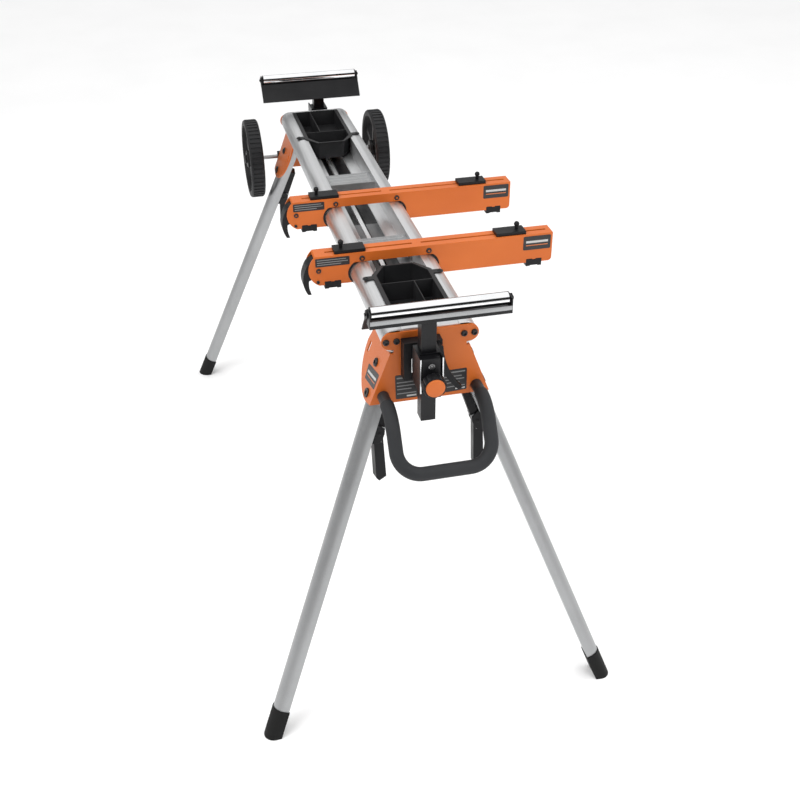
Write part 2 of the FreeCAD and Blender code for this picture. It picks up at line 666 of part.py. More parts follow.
def square_tube(length, at, axis):
    """Square tube along X or Z from the middle of its end."""
    sizes = {"X": ("%s", "tube_size", "tube_size"), "Z": ("tube_size", "tube_size", "%s")}[axis]
    wide = [length if size == "%s" else size for size in sizes]
    thin = ["%s + 2" % length if size == "%s" else "tube_size - 2 * tube_wall" for size in sizes]
    x, y, z = at
    if axis == "X":
        return cut(box(wide, (x, y + " - tube_size / 2", z + " - tube_size / 2")),
                   box(thin, (x + " - 1", y + " - tube_size / 2 + tube_wall",
                              z + " - tube_size / 2 + tube_wall")))
    return cut(box(wide, (x + " - tube_size / 2", y + " - tube_size / 2", z)),
               box(thin, (x + " - tube_size / 2 + tube_wall", y + " - tube_size / 2 + tube_wall",
                          z + " - 1")))


def post_clamp(end):
    """Collar round the post with two cheeks in front that hold the clamp knob."""
    half = "(clamp_width / 2)"
    block = box(("%s - %s" % (clamp_nose, clamp_back), "clamp_width", "clamp_height"),
                (clamp_back, post_y + " - " + half, clamp_low))
    bore = box(("2 * " + bore_half, "2 * " + bore_half, "clamp_height + 2"),
               (post_x + " - " + bore_half, post_y + " - " + bore_half, clamp_low + " - 1"))
    start = "(%s + %s + clamp_web)" % (post_x, bore_half)
    gap = box(("%s - %s + 1" % (clamp_nose, start), "clamp_width - 2 * clamp_web",
               "clamp_height + 2"),
              (start, post_y + " - clamp_width / 2 + clamp_web", clamp_low + " - 1"))
    screw = rod("4 + running", "20", (post_x, post_y, knob_z), ("Y", 90))
    return node("post_clamp_" + end, cut(block, bore, gap, screw), (0, 0, 0), *at_end(end))


def clamp_knob(end):
    """Knurled knob with a raised cap on a stud that bears on the post."""
    begin = "(%s + tube_size / 2 + slide_gap)" % post_x
    front = "(%s + 6)" % clamp_nose
    stud = rod("4", "%s - %s + 2" % (front, begin), (begin, post_y, knob_z), ("Y", 90))
    grip = rod("knob_radius", "knob_depth", (front, post_y, knob_z), ("Y", 90))
    cap = rod("knob_radius - 4", "2.5", ("%s + knob_depth" % front, post_y, knob_z), ("Y", 90))
    neck = rod("knob_radius / 2", "6", (front + " - 6", post_y, knob_z), ("Y", 90))
    return node("clamp_knob_" + end, fuse(stud, neck, grip, cap), (0, 0, 0), *at_end(end))


plate_in = "(roller_length / 2 + 1)"
plate_far = "(roller_length / 2 + 1 + cheek)"


def roller_bracket(end):
    """Folded channel on top of the post with an end plate each side and the roller's axle."""
    floor = box(("24", "2 * " + plate_far, "cheek"), (post_x + " - 8", "-" + plate_far, post_top))
    lip = box(("cheek", "2 * " + plate_far, "lip_height"),
              (post_x + " + 16 - cheek", "-" + plate_far, post_top))
    ends = [box(("22", "cheek", "saddle_drop + 7"), (post_x + " - 6", y, post_top))
            for y in (plate_in, "-" + plate_far)]
    axle = rod("roller_pin", "2 * (%s + cheek + 3)" % plate_far,
               (post_x, "-%s - cheek - 3" % plate_far, axis_z), ("X", -90))
    return node("roller_bracket_" + end, fuse(floor, lip, axle, *ends), (0, 0, 0), *at_end(end))


def roller(end):
    barrel = rod("roller_radius", "roller_length", (post_x, "-roller_length / 2", axis_z),
                 ("X", -90))
    bore = rod("roller_pin + running", "roller_length + 2",
               (post_x, "-roller_length / 2 - 1", axis_z), ("X", -90))
    return node("roller_" + end, cut(barrel, bore), (0, 0, 0), *at_end(end))


def stop(end):
    """Flip-up stop: a long panel on two rings that swing about the roller's axle."""
    wide = "(%s + 0.5 + cheek)" % plate_far
    panel = box(("stop_length", "2 * " + wide, "stop_thick"),
                ("roller_radius + 2", "-" + wide, "-stop_thick / 2"))
    parts = [panel]
    for y in (wide + " - cheek", "-" + wide):
        parts.append(rod("8", "cheek", (0, y, 0), ("X", -90)))
        parts.append(box(("roller_radius + 6", "cheek", "8"), (0, y, "-4")))
    bore = rod("roller_pin + running", "2 * %s + 2" % wide, (0, "-%s - 1" % wide, 0), ("X", -90))
    placed = put(cut(fuse(*parts), bore), (post_x, 0, axis_z), ("Y", "180 - stop_angle"))
    return node("stop_" + end, group(placed), (0, 0, 0), *at_end(end))


crank_y, crank_z = "8", "(bed_height - 28)"
crank_x = "(%s + housing_depth + slide_gap)" % face


def lock_housing(end, side):
    """Moulded housing round the extension tube, in two halves, with the lever's bearing."""
    low_z = "(bed_height - 17 - housing_height)"
    span = {"front": ("-tube_offset - 33", "33"), "rear": ("-tube_offset", "38")}[side]
    block = box(("housing_depth", span[1], "housing_height"), (face, span[0], low_z))
    tube = box(("housing_depth + 2", sleeve_in, sleeve_in),
               (face + " - 1", "-tube_offset - %s / 2" % sleeve_in,
                tube_mid + " - %s / 2" % sleeve_in))
    bore = rod("5 + running", "housing_depth + 2", (face + " - 1", crank_y, crank_z), ("Y", 90))
    return cut(block, tube, bore)


def extension_lock(end):
    """Curved lever beside the post, turning on a shaft in the lock housing."""
    y, z = crank_y, crank_z
    middle = "%s + crank_thick / 2" % crank_x
    blade = prism([("%s - 7" % y, z), ("%s + 4" % y, z + " - 42", "left", "150"),
                   ("%s + 32" % y, z + " - 86", "left", "150"),
                   ("%s + 44" % y, z + " - 86", "left", "7"),
                   ("%s + 17" % y, z + " - 42", "right", "150"),
                   ("%s + 7" % y, z, "right", "150"), ("%s + 7" % y, z + " + 3"), (y, z + " + 9"),
                   ("%s - 7" % y, z + " + 3")], "YZ", "crank_thick", middle)
    shaft = rod("5", "%s - %s + 2" % (crank_x, face), (face, y, z), ("Y", 90))
    return node("extension_lock_" + end, fuse(blade, shaft), (0, 0, 0), *at_end(end))


for end in ENDS:
    node("extension_tube_" + end,
         square_tube("tube_length", (clamp_back + " - tube_length", post_y, tube_mid), "X"),
         (0, 0, 0), *at_end(end))
    post_clamp(end)
    clamp_knob(end)
    node("post_" + end, square_tube("post_length", (post_x, post_y, post_top + " - post_length"),
                                    "Z"), (0, 0, 0), *at_end(end))
    roller_bracket(end)
    roller(end)
    stop(end)
    extension_lock(end)
node("lock_housings", both_ends(lock_housing))

# ---------------------------------------------------------------- carry handle
handle_z = "(bed_height - handle_drop)"
dip = "atan(handle_fall / (handle_out - handle_straight))"
first_bend = "60"
ease = "(%s * tan(%s / 2))" % (first_bend, dip)
slope = "(handle_fall / sin(%s) - %s - handle_bend)" % (dip, ease)
bend_x = "(%s + handle_straight - %s)" % (face, ease)
slope_x = "(%s + %s * sin(%s))" % (bend_x, first_bend, dip)
slope_z = "(%s - %s + %s * cos(%s))" % (handle_z, first_bend, first_bend, dip)
bar_x = "(%s + handle_out)" % face
bar_z = "(%s - handle_fall)" % handle_z
corner_x = "(%s - handle_bend * cos(%s))" % (bar_x, dip)
corner_z = "(%s + handle_bend * sin(%s))" % (bar_z, dip)


def bend(radius, sweep, tube, at, *turns):
    """Quarter or lesser turn of round tube, starting on its own +X and turning towards +Y."""
    item = doc.addObject("Part::Torus", "Bend")
    item.setExpression("Radius1", bind(radius))
    item.setExpression("Radius2", bind(tube))
    item.setExpression("Angle3", bind(sweep))
    return put(item, at, *turns)


def handle_half(tube):
    """Slope, corner and half of the bar on the +Y side."""
    down = ("Y", "90 deg + " + dip)
    slant = rod(tube, slope, (slope_x, "handle_half", slope_z), down)
    corner = bend("handle_bend", "90", tube, (corner_x, "handle_half - handle_bend", corner_z),
                  down, ("Z", 90), ("X", 90))
    bar = rod(tube, "handle_half - handle_bend", (bar_x, "0", bar_z), ("X", -90))
    return fuse(slant, corner, bar)


def first_turn(tube, sweep):
    """Bend from the level end of the handle down to its slope."""
    at = (bend_x, "handle_half", "%s - %s" % (handle_z, first_bend))
    return bend(first_bend, sweep, tube, at, ("Y", -90), ("X", -90))


level = rod("handle_radius", "%s - %s" % (bend_x, face), (face, "handle_half", handle_z),
            ("Y", 90))
upper = fuse(level, first_turn("handle_radius", dip), handle_half("handle_radius"))
node("carry_handle", fuse(upper, mirror(upper, (0, 1, 0))))
grip_half = fuse(first_turn("grip_radius", dip), handle_half("grip_radius"))
tube_half = fuse(first_turn("handle_radius", dip), handle_half("handle_radius"))
sleeve_half = cut(grip_half, tube_half)
node("handle_grip", fuse(sleeve_half, mirror(sleeve_half, (0, 1, 0))))

# ---------------------------------------------------------------- wheels
axle_x = "(-%s - axle_out)" % face
axle_z = "(bed_height - axle_drop)"
axle_half = "(wheel_inner + wheel_width + 0.6)"


def wheel(side):
    """Moulded wheel: tread ring, five spokes and a hub that turns on the axle."""
    low = {"front": "-wheel_inner - wheel_width", "rear": "wheel_inner"}[side]
    mid = "%s + wheel_width / 2" % low
    along = ("X", -90)
    tyre = cut(rod("wheel_radius", "wheel_width", (0, low, 0), along),
               rod("wheel_radius - tyre_depth", "wheel_width + 2", (0, low + " - 1", 0), along))
    hub = rod("hub_radius", "wheel_width", (0, low, 0), along)
    spokes = [put(group(box(("wheel_radius - hub_radius - tyre_depth + 6", "12", "16"),
                            ("hub_radius - 3", "-6", "-8"))), (0, mid, 0), ("Y", 72 * count))
              for count in range(5)]
    bore = rod("axle_radius + running", "wheel_width + 2", (0, low + " - 1", 0), along)
    body = cut(fuse(tyre, hub, *spokes), bore)
    return node("wheel_" + side, body, (axle_x, 0, axle_z))


shaft = rod("axle_radius", "2 * " + axle_half, (axle_x, "-" + axle_half, axle_z), ("X", -90))
caps = [rod("axle_radius + 4", "4", (axle_x, y, axle_z), ("X", -90))
        for y in (axle_half, "-%s - 4" % axle_half)]
collars = [rod("axle_radius + 4", "4", (axle_x, y, axle_z), ("X", -90))
           for y in ("wheel_inner - 4.6", "-wheel_inner + 0.6")]
node("axle", fuse(shaft, *(caps + collars)))
saddle_blocks = [cut(box(("2 * axle_out", "14", "24"), (axle_x + " - axle_out", y,
                                                        axle_z + " - 12")),
                     rod("axle_radius", "16", (axle_x, y + " - 1", axle_z), ("X", -90)))
                 for y in ("handle_half", "-handle_half - 14")]
node("axle_saddles", group(*saddle_blocks))
for side in SIDES:
    wheel(side)

# ---------------------------------------------------------------- mounting arms
arm_top = "(bed_height + arm_rise)"
arm_low = "(bed_height + arm_rise - arm_depth)"
web = "(bed_height + arm_rise - arm_sheet)"
rail_y = "(bed_width / 2 - %s)" % nose
rail_z = "(bed_height - %s)" % nose
notch = "(%s + pad_thick + arm_gap)" % nose
lining = "(%s + arm_gap)" % nose
foot_gap = "sqrt(%s ^ 2 - (%s - %s) ^ 2)" % (notch, rail_z, arm_low)
head_gap = "sqrt(%s ^ 2 - %s ^ 2)" % (notch, lining)
cam_y, cam_z = "(-cam_front)", "(bed_height - cam_drop)"


def arm(end, place):
    """Folded channel across the bed, notched over both rails and slotted along its top."""
    tip_y = "-arm_front"
    sides = prism([("14 - arm_front", arm_top),
                   (tip_y, "%s - 31" % arm_top, "left", "arm_nose + 4"),
                   ("21 - arm_front", arm_low, "left", "arm_nose"),
                   ("-%s - %s" % (rail_y, foot_gap), arm_low),
                   ("-%s - %s" % (rail_y, head_gap), "bed_height + arm_gap", "right", notch),
                   ("%s + %s" % (rail_y, head_gap), "bed_height + arm_gap"),
                   ("%s + %s" % (rail_y, foot_gap), arm_low, "right", notch),
                   ("arm_back - 8", arm_low),
                   ("arm_back", arm_low + " + 8", "left", "8"),
                   ("arm_back", arm_top)], "YZ", "arm_width", place)
    inside = box(("arm_width - 2 * arm_sheet", "arm_back - arm_sheet + arm_front + 20", "arm_depth"),
                 (place + " - arm_width / 2 + arm_sheet", "-arm_front - 20",
                  web + " - arm_depth"))
    slots = [box(("2 * slot_half", length, "arm_sheet + 2"),
                 (place + " - slot_half", start, web + " - 1"))
             for start, length in (("36 - arm_front", "176"), ("59", "arm_back - 69"))]
    pin = rod("4", "arm_width + 3", (place + " - arm_width / 2 - 1.5", cam_y, cam_z), ("Y", 90))
    bolts = [rod("bolt_head - 2", "arm_width + 4", (place + " - arm_width / 2 - 2", y, z), ("Y", 90))
             for y, z in (("7 - rail_tie", "%s - 12" % arm_top), ("rail_tie", "%s - 11" % arm_top))]
    node("arm_" + end, fuse(cut(sides, inside, *slots), pin, *bolts))


def pad(end, place):
    """Two curved pads that line an arm where it rides on the rails."""
    def sector(sign, begin, finish):
        def at(radius, angle):
            return ("%d * (%s + %s * cos(%s))" % (sign, rail_y, radius, angle),
                    "%s + %s * sin(%s)" % (rail_z, radius, angle))
        turn, back = ("left", "right") if sign > 0 else ("right", "left")
        points = [at(lining, begin), at(notch, begin), at(notch, finish) + (turn, notch),
                  at(lining, finish), ]
        points[0] = points[0] + (back, lining)
        return prism(points, "YZ", "arm_width", place)

    return node("arm_pads_" + end, group(sector(-1, -52, 58), sector(1, -52, 58)))


def arm_lever(end, place):
    """Release lever that wraps the arm's user end and turns on a pin through the arm."""
    blade = prism([(cam_y, cam_z + " + 22"),
                   (cam_y + " - 25", cam_z + " + 3", "left", "27"),
                   (cam_y + " - 31", cam_z + " - 20", "left", "60"),
                   (cam_y + " - 22", cam_z + " - 52", "left", "60"),
                   (cam_y + " - 15", cam_z + " - 52"),
                   (cam_y + " - 19", cam_z + " - 22", "right", "60"),
                   (cam_y, cam_z + " - 10.5", "left", "40")], "YZ", "arm_width - 2 * arm_sheet - 2",
                  place)
    hub = rod("10.5", "arm_width - 2 * arm_sheet - 2",
              (place + " - arm_width / 2 + arm_sheet + 1", cam_y, cam_z), ("Y", 90))
    bore = rod("4 + running", "arm_width + 2", (place + " - arm_width / 2 - 1", cam_y, cam_z),
               ("Y", 90))
    node("arm_lever_" + end, cut(fuse(blade, hub), bore))


def saddle(end, side, place):
    """Saw mounting plate: a stud with a ball knob runs in the slot to a nut under the top."""
    middle = {"front": "saddle_front_at", "rear": "saddle_back_at"}[side]
    stud_y = {"front": middle + " - 15.6", "rear": middle + " + 15"}[side]
    plate = box(("arm_width - 7", "saddle_length", "saddle_thick"),
                (place + " - arm_width / 2 + 3.5", middle + " - saddle_length / 2", arm_top))
    top = "(%s + saddle_thick)" % arm_top
    stud = rod("stud_radius", "9", (place, stud_y, top + " - 1"))
    ball = doc.addObject("Part::Sphere", "Ball")
    ball.setExpression("Radius", bind("stud_radius + 1.9"))
    put(ball, (place, stud_y, top + " + 11"))
    neck = rod("slot_half - 0.2", "arm_sheet + 3", (place, stud_y, web + " - 1"))
    nut = box(("16", "16", "3.5"), (place + " - 8", stud_y + " - 8", web + " - 3.6"))
    node("saddle_%s_%s" % (end, side), fuse(plate, stud, ball, neck, nut))


for end in ENDS:
    place = "arm_%s_at" % end
    arm(end, place)
    pad(end, place)
    arm_lever(end, place)
    for side in SIDES:
        saddle(end, side, place)

# ---------------------------------------------------------------- check and write
doc.recompute()
faults = ["%s %s" % (item.Label, item.State) for item in doc.Objects
          if "Invalid" in item.State or "Error" in item.State]
for label, item in NODES.items():
    if item.Shape.isNull() or not item.Shape.isValid() or not item.Shape.Solids:
        faults.append("%s has no valid shape" % label)
if faults:
    raise SystemExit("part.py: " + "; ".join(faults))
os.makedirs("parts", exist_ok=True)
for label, item in NODES.items():
    item.Shape.exportStep("parts/%s.step" % label)
print("wrote", len(NODES), "sub-parts")
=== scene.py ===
# %% [markdown]
# # A folding stand for a mitre saw
#
# The stand is a long aluminium bed on four splayed legs.  Two orange steel arms slide along the
# bed and carry the saw, a roller on a post stands at each end of the work, and trays, wheels and a
# carry handle complete it.  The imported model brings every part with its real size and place, and
# nothing here moves one.  This lesson adds what the plain solids lack: the finish of each
# material, the turned and moulded surfaces, the tread, knurling, ribs, rivets and stickers.

import json
import math

import bmesh
import bpy
import numpy as np
from mathutils import Matrix, Vector

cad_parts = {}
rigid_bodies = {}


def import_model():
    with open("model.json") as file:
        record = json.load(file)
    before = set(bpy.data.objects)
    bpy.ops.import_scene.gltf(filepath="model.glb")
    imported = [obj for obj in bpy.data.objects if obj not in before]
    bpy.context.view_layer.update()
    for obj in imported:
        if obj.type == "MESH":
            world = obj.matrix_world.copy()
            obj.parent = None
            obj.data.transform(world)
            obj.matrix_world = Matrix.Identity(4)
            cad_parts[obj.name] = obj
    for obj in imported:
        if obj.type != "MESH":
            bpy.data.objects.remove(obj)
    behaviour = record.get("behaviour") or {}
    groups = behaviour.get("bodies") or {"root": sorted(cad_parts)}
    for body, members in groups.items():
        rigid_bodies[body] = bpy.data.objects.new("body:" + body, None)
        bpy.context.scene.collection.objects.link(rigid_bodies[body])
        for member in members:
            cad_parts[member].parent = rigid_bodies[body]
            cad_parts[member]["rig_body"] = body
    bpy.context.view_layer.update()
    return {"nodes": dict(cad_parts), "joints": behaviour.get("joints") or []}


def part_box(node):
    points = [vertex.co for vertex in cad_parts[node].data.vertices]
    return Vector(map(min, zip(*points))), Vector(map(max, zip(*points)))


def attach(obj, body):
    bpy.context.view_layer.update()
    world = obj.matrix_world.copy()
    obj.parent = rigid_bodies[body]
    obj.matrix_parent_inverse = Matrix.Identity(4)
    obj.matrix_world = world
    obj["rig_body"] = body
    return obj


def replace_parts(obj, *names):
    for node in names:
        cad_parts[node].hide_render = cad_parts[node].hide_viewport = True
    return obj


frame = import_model()

# %% [markdown]
# Many pieces come in fours or in pairs, one at each end or on each side.  A few names for the
# ends and sides, and a function that reads a node's box, keep the later cells short.

# %% Ends, sides and boxes
ENDS = {"handle": 1.0, "wheel": -1.0}
SIDES = {"front": -1.0, "rear": 1.0}


def span(node):
    """Low corner, high corner and middle of a node at rest, as numpy arrays in metres."""
    low, high = (np.array(corner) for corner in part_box(node))
    return low, high, (low + high) / 2


bed_top = span("rail_rear")[1][2]
print("top of the bed is", round(float(bed_top), 4), "m above the floor")

# %% [markdown]
# ## Finishes
#
# Every finish here starts from the same idea: a real surface is never one value.  Broad soft
# noise moves the colour a little, as handling and batches of paint do, and fine noise moves the
# roughness and lifts the surface by hundredths of a millimetre.  All patterns read the Object
# coordinates, which are metres on the stand, so a scale of 1000 gives a grain about 1 mm across.

# %% Helpers for node trees
def new_finish(name, metallic=0.0, coat=0.0, specular=0.5):
    """An empty material with its shader; constants go on the shader's own sockets."""
    material = bpy.data.materials.new(name)
    material.use_nodes = True
    shader = material.node_tree.nodes["Principled BSDF"]
    shader.inputs["Metallic"].default_value = metallic
    shader.inputs["Coat Weight"].default_value = coat
    shader.inputs["Specular IOR Level"].default_value = specular
    return material, material.node_tree, shader


def placed_noise(tree, scale, stretch=(1, 1, 1), turn=(0, 0, 0), detail=4.0):
    """Noise over the Object coordinates: position, turned, times stretch, times scale."""
    coords = tree.nodes.new("ShaderNodeTexCoord")
    mapping = tree.nodes.new("ShaderNodeMapping")
    mapping.inputs["Rotation"].default_value = turn
    mapping.inputs["Scale"].default_value = stretch
    noise = tree.nodes.new("ShaderNodeTexNoise")
    noise.inputs["Scale"].default_value = scale
    noise.inputs["Detail"].default_value = detail
    tree.links.new(coords.outputs["Object"], mapping.inputs["Vector"])
    tree.links.new(mapping.outputs["Vector"], noise.inputs["Vector"])
    return noise.outputs["Fac"]


def between(tree, factor, low, high, start=0.35, stop=0.65):
    """A number that goes from low to high as factor goes from start to stop."""
    node = tree.nodes.new("ShaderNodeMapRange")
    node.inputs["From Min"].default_value = start
    node.inputs["From Max"].default_value = stop
    node.inputs["To Min"].default_value = low
    node.inputs["To Max"].default_value = high
    tree.links.new(factor, node.inputs["Value"])
    return node.outputs["Result"]


def blend_colours(tree, factor, first, second, start=0.35, stop=0.65):
    """A colour that goes from first to second as factor goes from start to stop."""
    node = tree.nodes.new("ShaderNodeMix")
    node.data_type = "RGBA"
    tree.links.new(between(tree, factor, 0.0, 1.0, start, stop), node.inputs["Factor"])
    for socket, colour in ((6, first), (7, second)):
        if isinstance(colour, tuple):
            node.inputs[socket].default_value = (*colour, 1.0)
        else:
            tree.links.new(colour, node.inputs[socket])
    return node.outputs[2]


def lift(tree, shader, height, depth, strength=1.0):
    """Bump: the surface stands up by depth metres where height is 1."""
    bump = tree.nodes.new("ShaderNodeBump")
    bump.inputs["Strength"].default_value = strength
    bump.inputs["Distance"].default_value = depth
    tree.links.new(height, bump.inputs["Height"])
    tree.links.new(bump.outputs["Normal"], shader.inputs["Normal"])


print("four helpers: noise, number, colour and bump")

# %% [markdown]
# ### Bare metals
#
# The rails and legs are drawn through a die and anodised.  The die leaves faint lines along the
# length, so the noise is stretched: a few cells per metre along the part and hundreds across it.
# Metal has no colour of its own under the light, only a tint of what it mirrors, so most of the
# look is in the roughness.

# %% Drawn aluminium, plated steel and polished chrome
LINES_ALONG, LINES_ACROSS, LINE_DEPTH = 6.0, 700.0, 0.00001


def drawn_metal(name, dark, light, rough, along=(1, 0, 0), turn=(0, 0, 0)):
    """Metal with die lines: fine noise squeezed across its length, over broad soft clouds."""
    material, tree, shader = new_finish(name, metallic=1.0)
    stretch = tuple(LINES_ALONG if axis else LINES_ACROSS for axis in along)
    lines = placed_noise(tree, 1.0, stretch, turn, detail=2.0)
    clouds = placed_noise(tree, 9.0, detail=3.0)
    tinted = blend_colours(tree, lines, dark, light, 0.3, 0.7)
    clouded = blend_colours(tree, clouds, tinted, light, 0.45, 0.8)
    tree.links.new(clouded, shader.inputs["Base Color"])
    tree.links.new(between(tree, lines, rough - 0.05, rough + 0.06), shader.inputs["Roughness"])
    lift(tree, shader, lines, LINE_DEPTH)
    return material


rail_metal = drawn_metal("anodised_rail", (0.60, 0.605, 0.61), (0.68, 0.685, 0.69), 0.44)
# The centre spine is the rails' aluminium painted lighter: painted light that makes up for the shade
# it lies in between the rails.
spine_metal_lightened_for_shade = drawn_metal("anodised_spine_lightened_for_shade", (0.80, 0.805, 0.81), (0.88, 0.885, 0.89), 0.55)
plated_steel = drawn_metal("zinc_plate", (0.30, 0.305, 0.31), (0.42, 0.425, 0.43), 0.40)
guide_steel = drawn_metal("phosphated_guide", (0.17, 0.172, 0.175), (0.25, 0.252, 0.255), 0.5)
axle_steel = drawn_metal("turned_axle", (0.30, 0.30, 0.305), (0.42, 0.42, 0.42), 0.3,
                         (0, 1, 0))
bright_plate = drawn_metal("bright_plate", (0.62, 0.625, 0.63), (0.78, 0.785, 0.79), 0.28,
                           (0, 0, 1))
print("drawn metals:", len(bpy.data.materials))


# %% Chrome of the rollers
def polished_chrome(name):
    """Mirror plate with hairline wear round the roller and a few cloudy patches."""
    material, tree, shader = new_finish(name, metallic=1.0)
    hairs = placed_noise(tree, 1.0, (900.0, 12.0, 900.0), detail=3.0)
    clouds = placed_noise(tree, 22.0, detail=4.0)
    tree.links.new(blend_colours(tree, clouds, (0.80, 0.81, 0.82), (0.90, 0.90, 0.91)),
                   shader.inputs["Base Color"])
    tree.links.new(between(tree, hairs, 0.07, 0.2, 0.45, 0.75), shader.inputs["Roughness"])
    lift(tree, shader, hairs, 0.000004)
    return material


roller_chrome = polished_chrome("roller_chrome")

# %% [markdown]
# ### Paint
#
# Powder coat is sprayed dry and baked.  It flows together but never quite flat, so it has a soft
# orange peel about a millimetre across.  Dust settles as slightly duller clouds, and the tops of
# the peel catch the light.

# %% Powder coats
PEEL_DEPTH = 0.00006


def powder_coat(name, colour, shade, rough=0.36):
    """Paint with an orange peel bump, broad clouds of shade and a few fine specks."""
    material, tree, shader = new_finish(name, coat=0.04, specular=0.28)
    shader.inputs["Coat Roughness"].default_value = 0.3
    skin = placed_noise(tree, 420.0, detail=2.0)
    clouds = placed_noise(tree, 7.0, detail=5.0)
    specks = placed_noise(tree, 1600.0, detail=1.0)
    tone = blend_colours(tree, clouds, shade, colour, 0.3, 0.7)
    speckled = blend_colours(tree, specks, tone, shade, 0.68, 0.8)
    tree.links.new(speckled, shader.inputs["Base Color"])
    tree.links.new(between(tree, skin, rough - 0.06, rough + 0.08), shader.inputs["Roughness"])
    lift(tree, shader, skin, PEEL_DEPTH)
    return material


orange_coat = powder_coat("orange_coat", (0.60, 0.142, 0.024), (0.54, 0.120, 0.019))
tube_coat = powder_coat("tube_coat", (0.007, 0.007, 0.008), (0.004, 0.004, 0.005), 0.34)
handle_coat = powder_coat("handle_coat", (0.030, 0.031, 0.033), (0.024, 0.025, 0.026), 0.40)
print("powder coats: orange, tube, handle")

# %% [markdown]
# ### Moulded plastic and rubber
#
# The mould for a tool's plastic parts is etched, which gives a leather-like grain of small cells.
# Voronoi cells make it.  Rubber and foam are duller, and foam also has pores.

# %% Plastics and rubbers
def moulded(name, colour, worn, rough=0.5, cells=900.0, depth=0.00008, specular=0.25):
    """Plastic: bump from the distance to the nearest cell centre, paler where it is handled."""
    material, tree, shader = new_finish(name, specular=specular)
    coords = tree.nodes.new("ShaderNodeTexCoord")
    grain = tree.nodes.new("ShaderNodeTexVoronoi")
    grain.inputs["Scale"].default_value = cells
    tree.links.new(coords.outputs["Object"], grain.inputs["Vector"])
    handled = placed_noise(tree, 14.0, detail=5.0)
    tree.links.new(blend_colours(tree, handled, colour, worn, 0.4, 0.75),
                   shader.inputs["Base Color"])
    tree.links.new(between(tree, handled, rough - 0.07, rough + 0.1), shader.inputs["Roughness"])
    lift(tree, shader, grain.outputs["Distance"], depth, 0.6)
    return material


tray_plastic = moulded("tray_plastic", (0.014, 0.014, 0.015), (0.024, 0.024, 0.025), 0.42)
lever_plastic = moulded("lever_plastic", (0.006, 0.006, 0.007), (0.012, 0.012, 0.013), 0.45)
wheel_plastic = moulded("wheel_plastic", (0.012, 0.012, 0.013), (0.022, 0.022, 0.023), 0.5)
foot_rubber = moulded("foot_rubber", (0.005, 0.005, 0.005), (0.010, 0.0097, 0.0095), 0.68, 500.0)
grip_foam = moulded("grip_foam", (0.025, 0.026, 0.028), (0.035, 0.036, 0.038), 0.7, 1500.0,
                    0.00012)
pad_plastic = moulded("pad_plastic", (0.012, 0.012, 0.013), (0.02, 0.02, 0.021), 0.5)
disc_plastic = moulded("disc_plastic", (0.54, 0.130, 0.026), (0.58, 0.150, 0.036), 0.42, 1400.0,
                       0.00003)
bolt_black = moulded("bolt_black", (0.010, 0.010, 0.011), (0.024, 0.024, 0.025), 0.36, 1800.0,
                     0.00002, 0.4)
print("materials so far:", len(bpy.data.materials))

# %% [markdown]
# ### Legs
#
# Each leg leans its own way, so its die lines must lean with it.  The leg's direction is the line
# from the middle of its upper end to the middle of its foot, and the pattern's X axis is turned
# on to that line.

# %% One drawn finish for each leg's direction
def leg_finish(name, node):
    """Drawn metal whose lines follow the node's long diagonal in its own quarter."""
    low, high, middle = span(node)
    run = np.array([high[0] - low[0], high[1] - low[1], high[2] - low[2]])
    run[0] *= -np.sign(middle[0])
    run[1] *= -np.sign(middle[1])
    turn = Vector((1, 0, 0)).rotation_difference(Vector(run)).inverted().to_euler()
    return drawn_metal(name, (0.34, 0.345, 0.35), (0.42, 0.425, 0.43), 0.42, turn=tuple(turn))


leg_metal = {}
for end in ENDS:
    for side in SIDES:
        where = "%s_%s" % (end, side)
        leg_metal[where] = leg_finish("anodised_leg_" + where, "leg_" + where)
print("leg finishes:", sorted(leg_metal))

# %% [markdown]
# ## Dress the frame
#
# Each imported node gets its finish by name.  The table also gives the record's slot that the
# finish belongs to, and the radius of its edges in millimetres: about half a millimetre on sheet
# metal and extrusions, one or more on mouldings.

# %% Finish, slot and edge radius of the imported nodes
DRESS = {
    "rail": (rail_metal, "rail_aluminium", 0.5),
    "centre_spine": (spine_metal_lightened_for_shade, "rail_aluminium", 0.5),
    "end_trims": (rail_metal, "rail_aluminium", 0.5),
    "cross_member": (plated_steel, "grey_steel", 0.5),
    "tube_guides": (guide_steel, "grey_steel", 0.4),
    "bracket_bolts": (bolt_black, "fastener_steel", 0.3),
    "bracket": (orange_coat, "orange_steel", 0.6),
    "arm_pads": (pad_plastic, "black_plastic", 0.4),
    "arm_lever": (lever_plastic, "black_plastic", 1.2),
    "arm": (orange_coat, "orange_steel", 0.9),
    "tray_screws": (bolt_black, "fastener_steel", 0.3),
    "tray": (tray_plastic, "black_plastic", 0.6),
    "pivot_bolts": (bolt_black, "fastener_steel", 0.3),
    "lock_bushes": (bolt_black, "fastener_steel", 0.4),
    "foot": (foot_rubber, "black_rubber", 1.2),
    "release_lever": (lever_plastic, "black_plastic", 1.4),
    "extension_tube": (tube_coat, "dark_tube", 0.7),
    "extension_lock": (lever_plastic, "black_plastic", 1.5),
    "lock_housings": (lever_plastic, "black_plastic", 1.5),
    "post_clamp": (tube_coat, "grey_steel", 0.5),
    "post": (tube_coat, "dark_tube", 0.7),
    "roller_bracket": (tube_coat, "dark_tube", 0.4),
    "roller": (roller_chrome, "roller_chrome", 0.5),
    "stop": (lever_plastic, "black_plastic", 0.6),
    "clamp_knob": (lever_plastic, "black_plastic", 0.5),
    "carry_handle": (handle_coat, "handle_paint", 0.5),
    "handle_grip": (grip_foam, "grip_foam", 0.6),
    "axle_saddles": (lever_plastic, "black_plastic", 1.0),
    "axle": (axle_steel, "axle_steel", 0.4),
    "wheel": (wheel_plastic, "wheel_plastic", 0.6),
    "saddle": (lever_plastic, "black_plastic", 0.9),
}


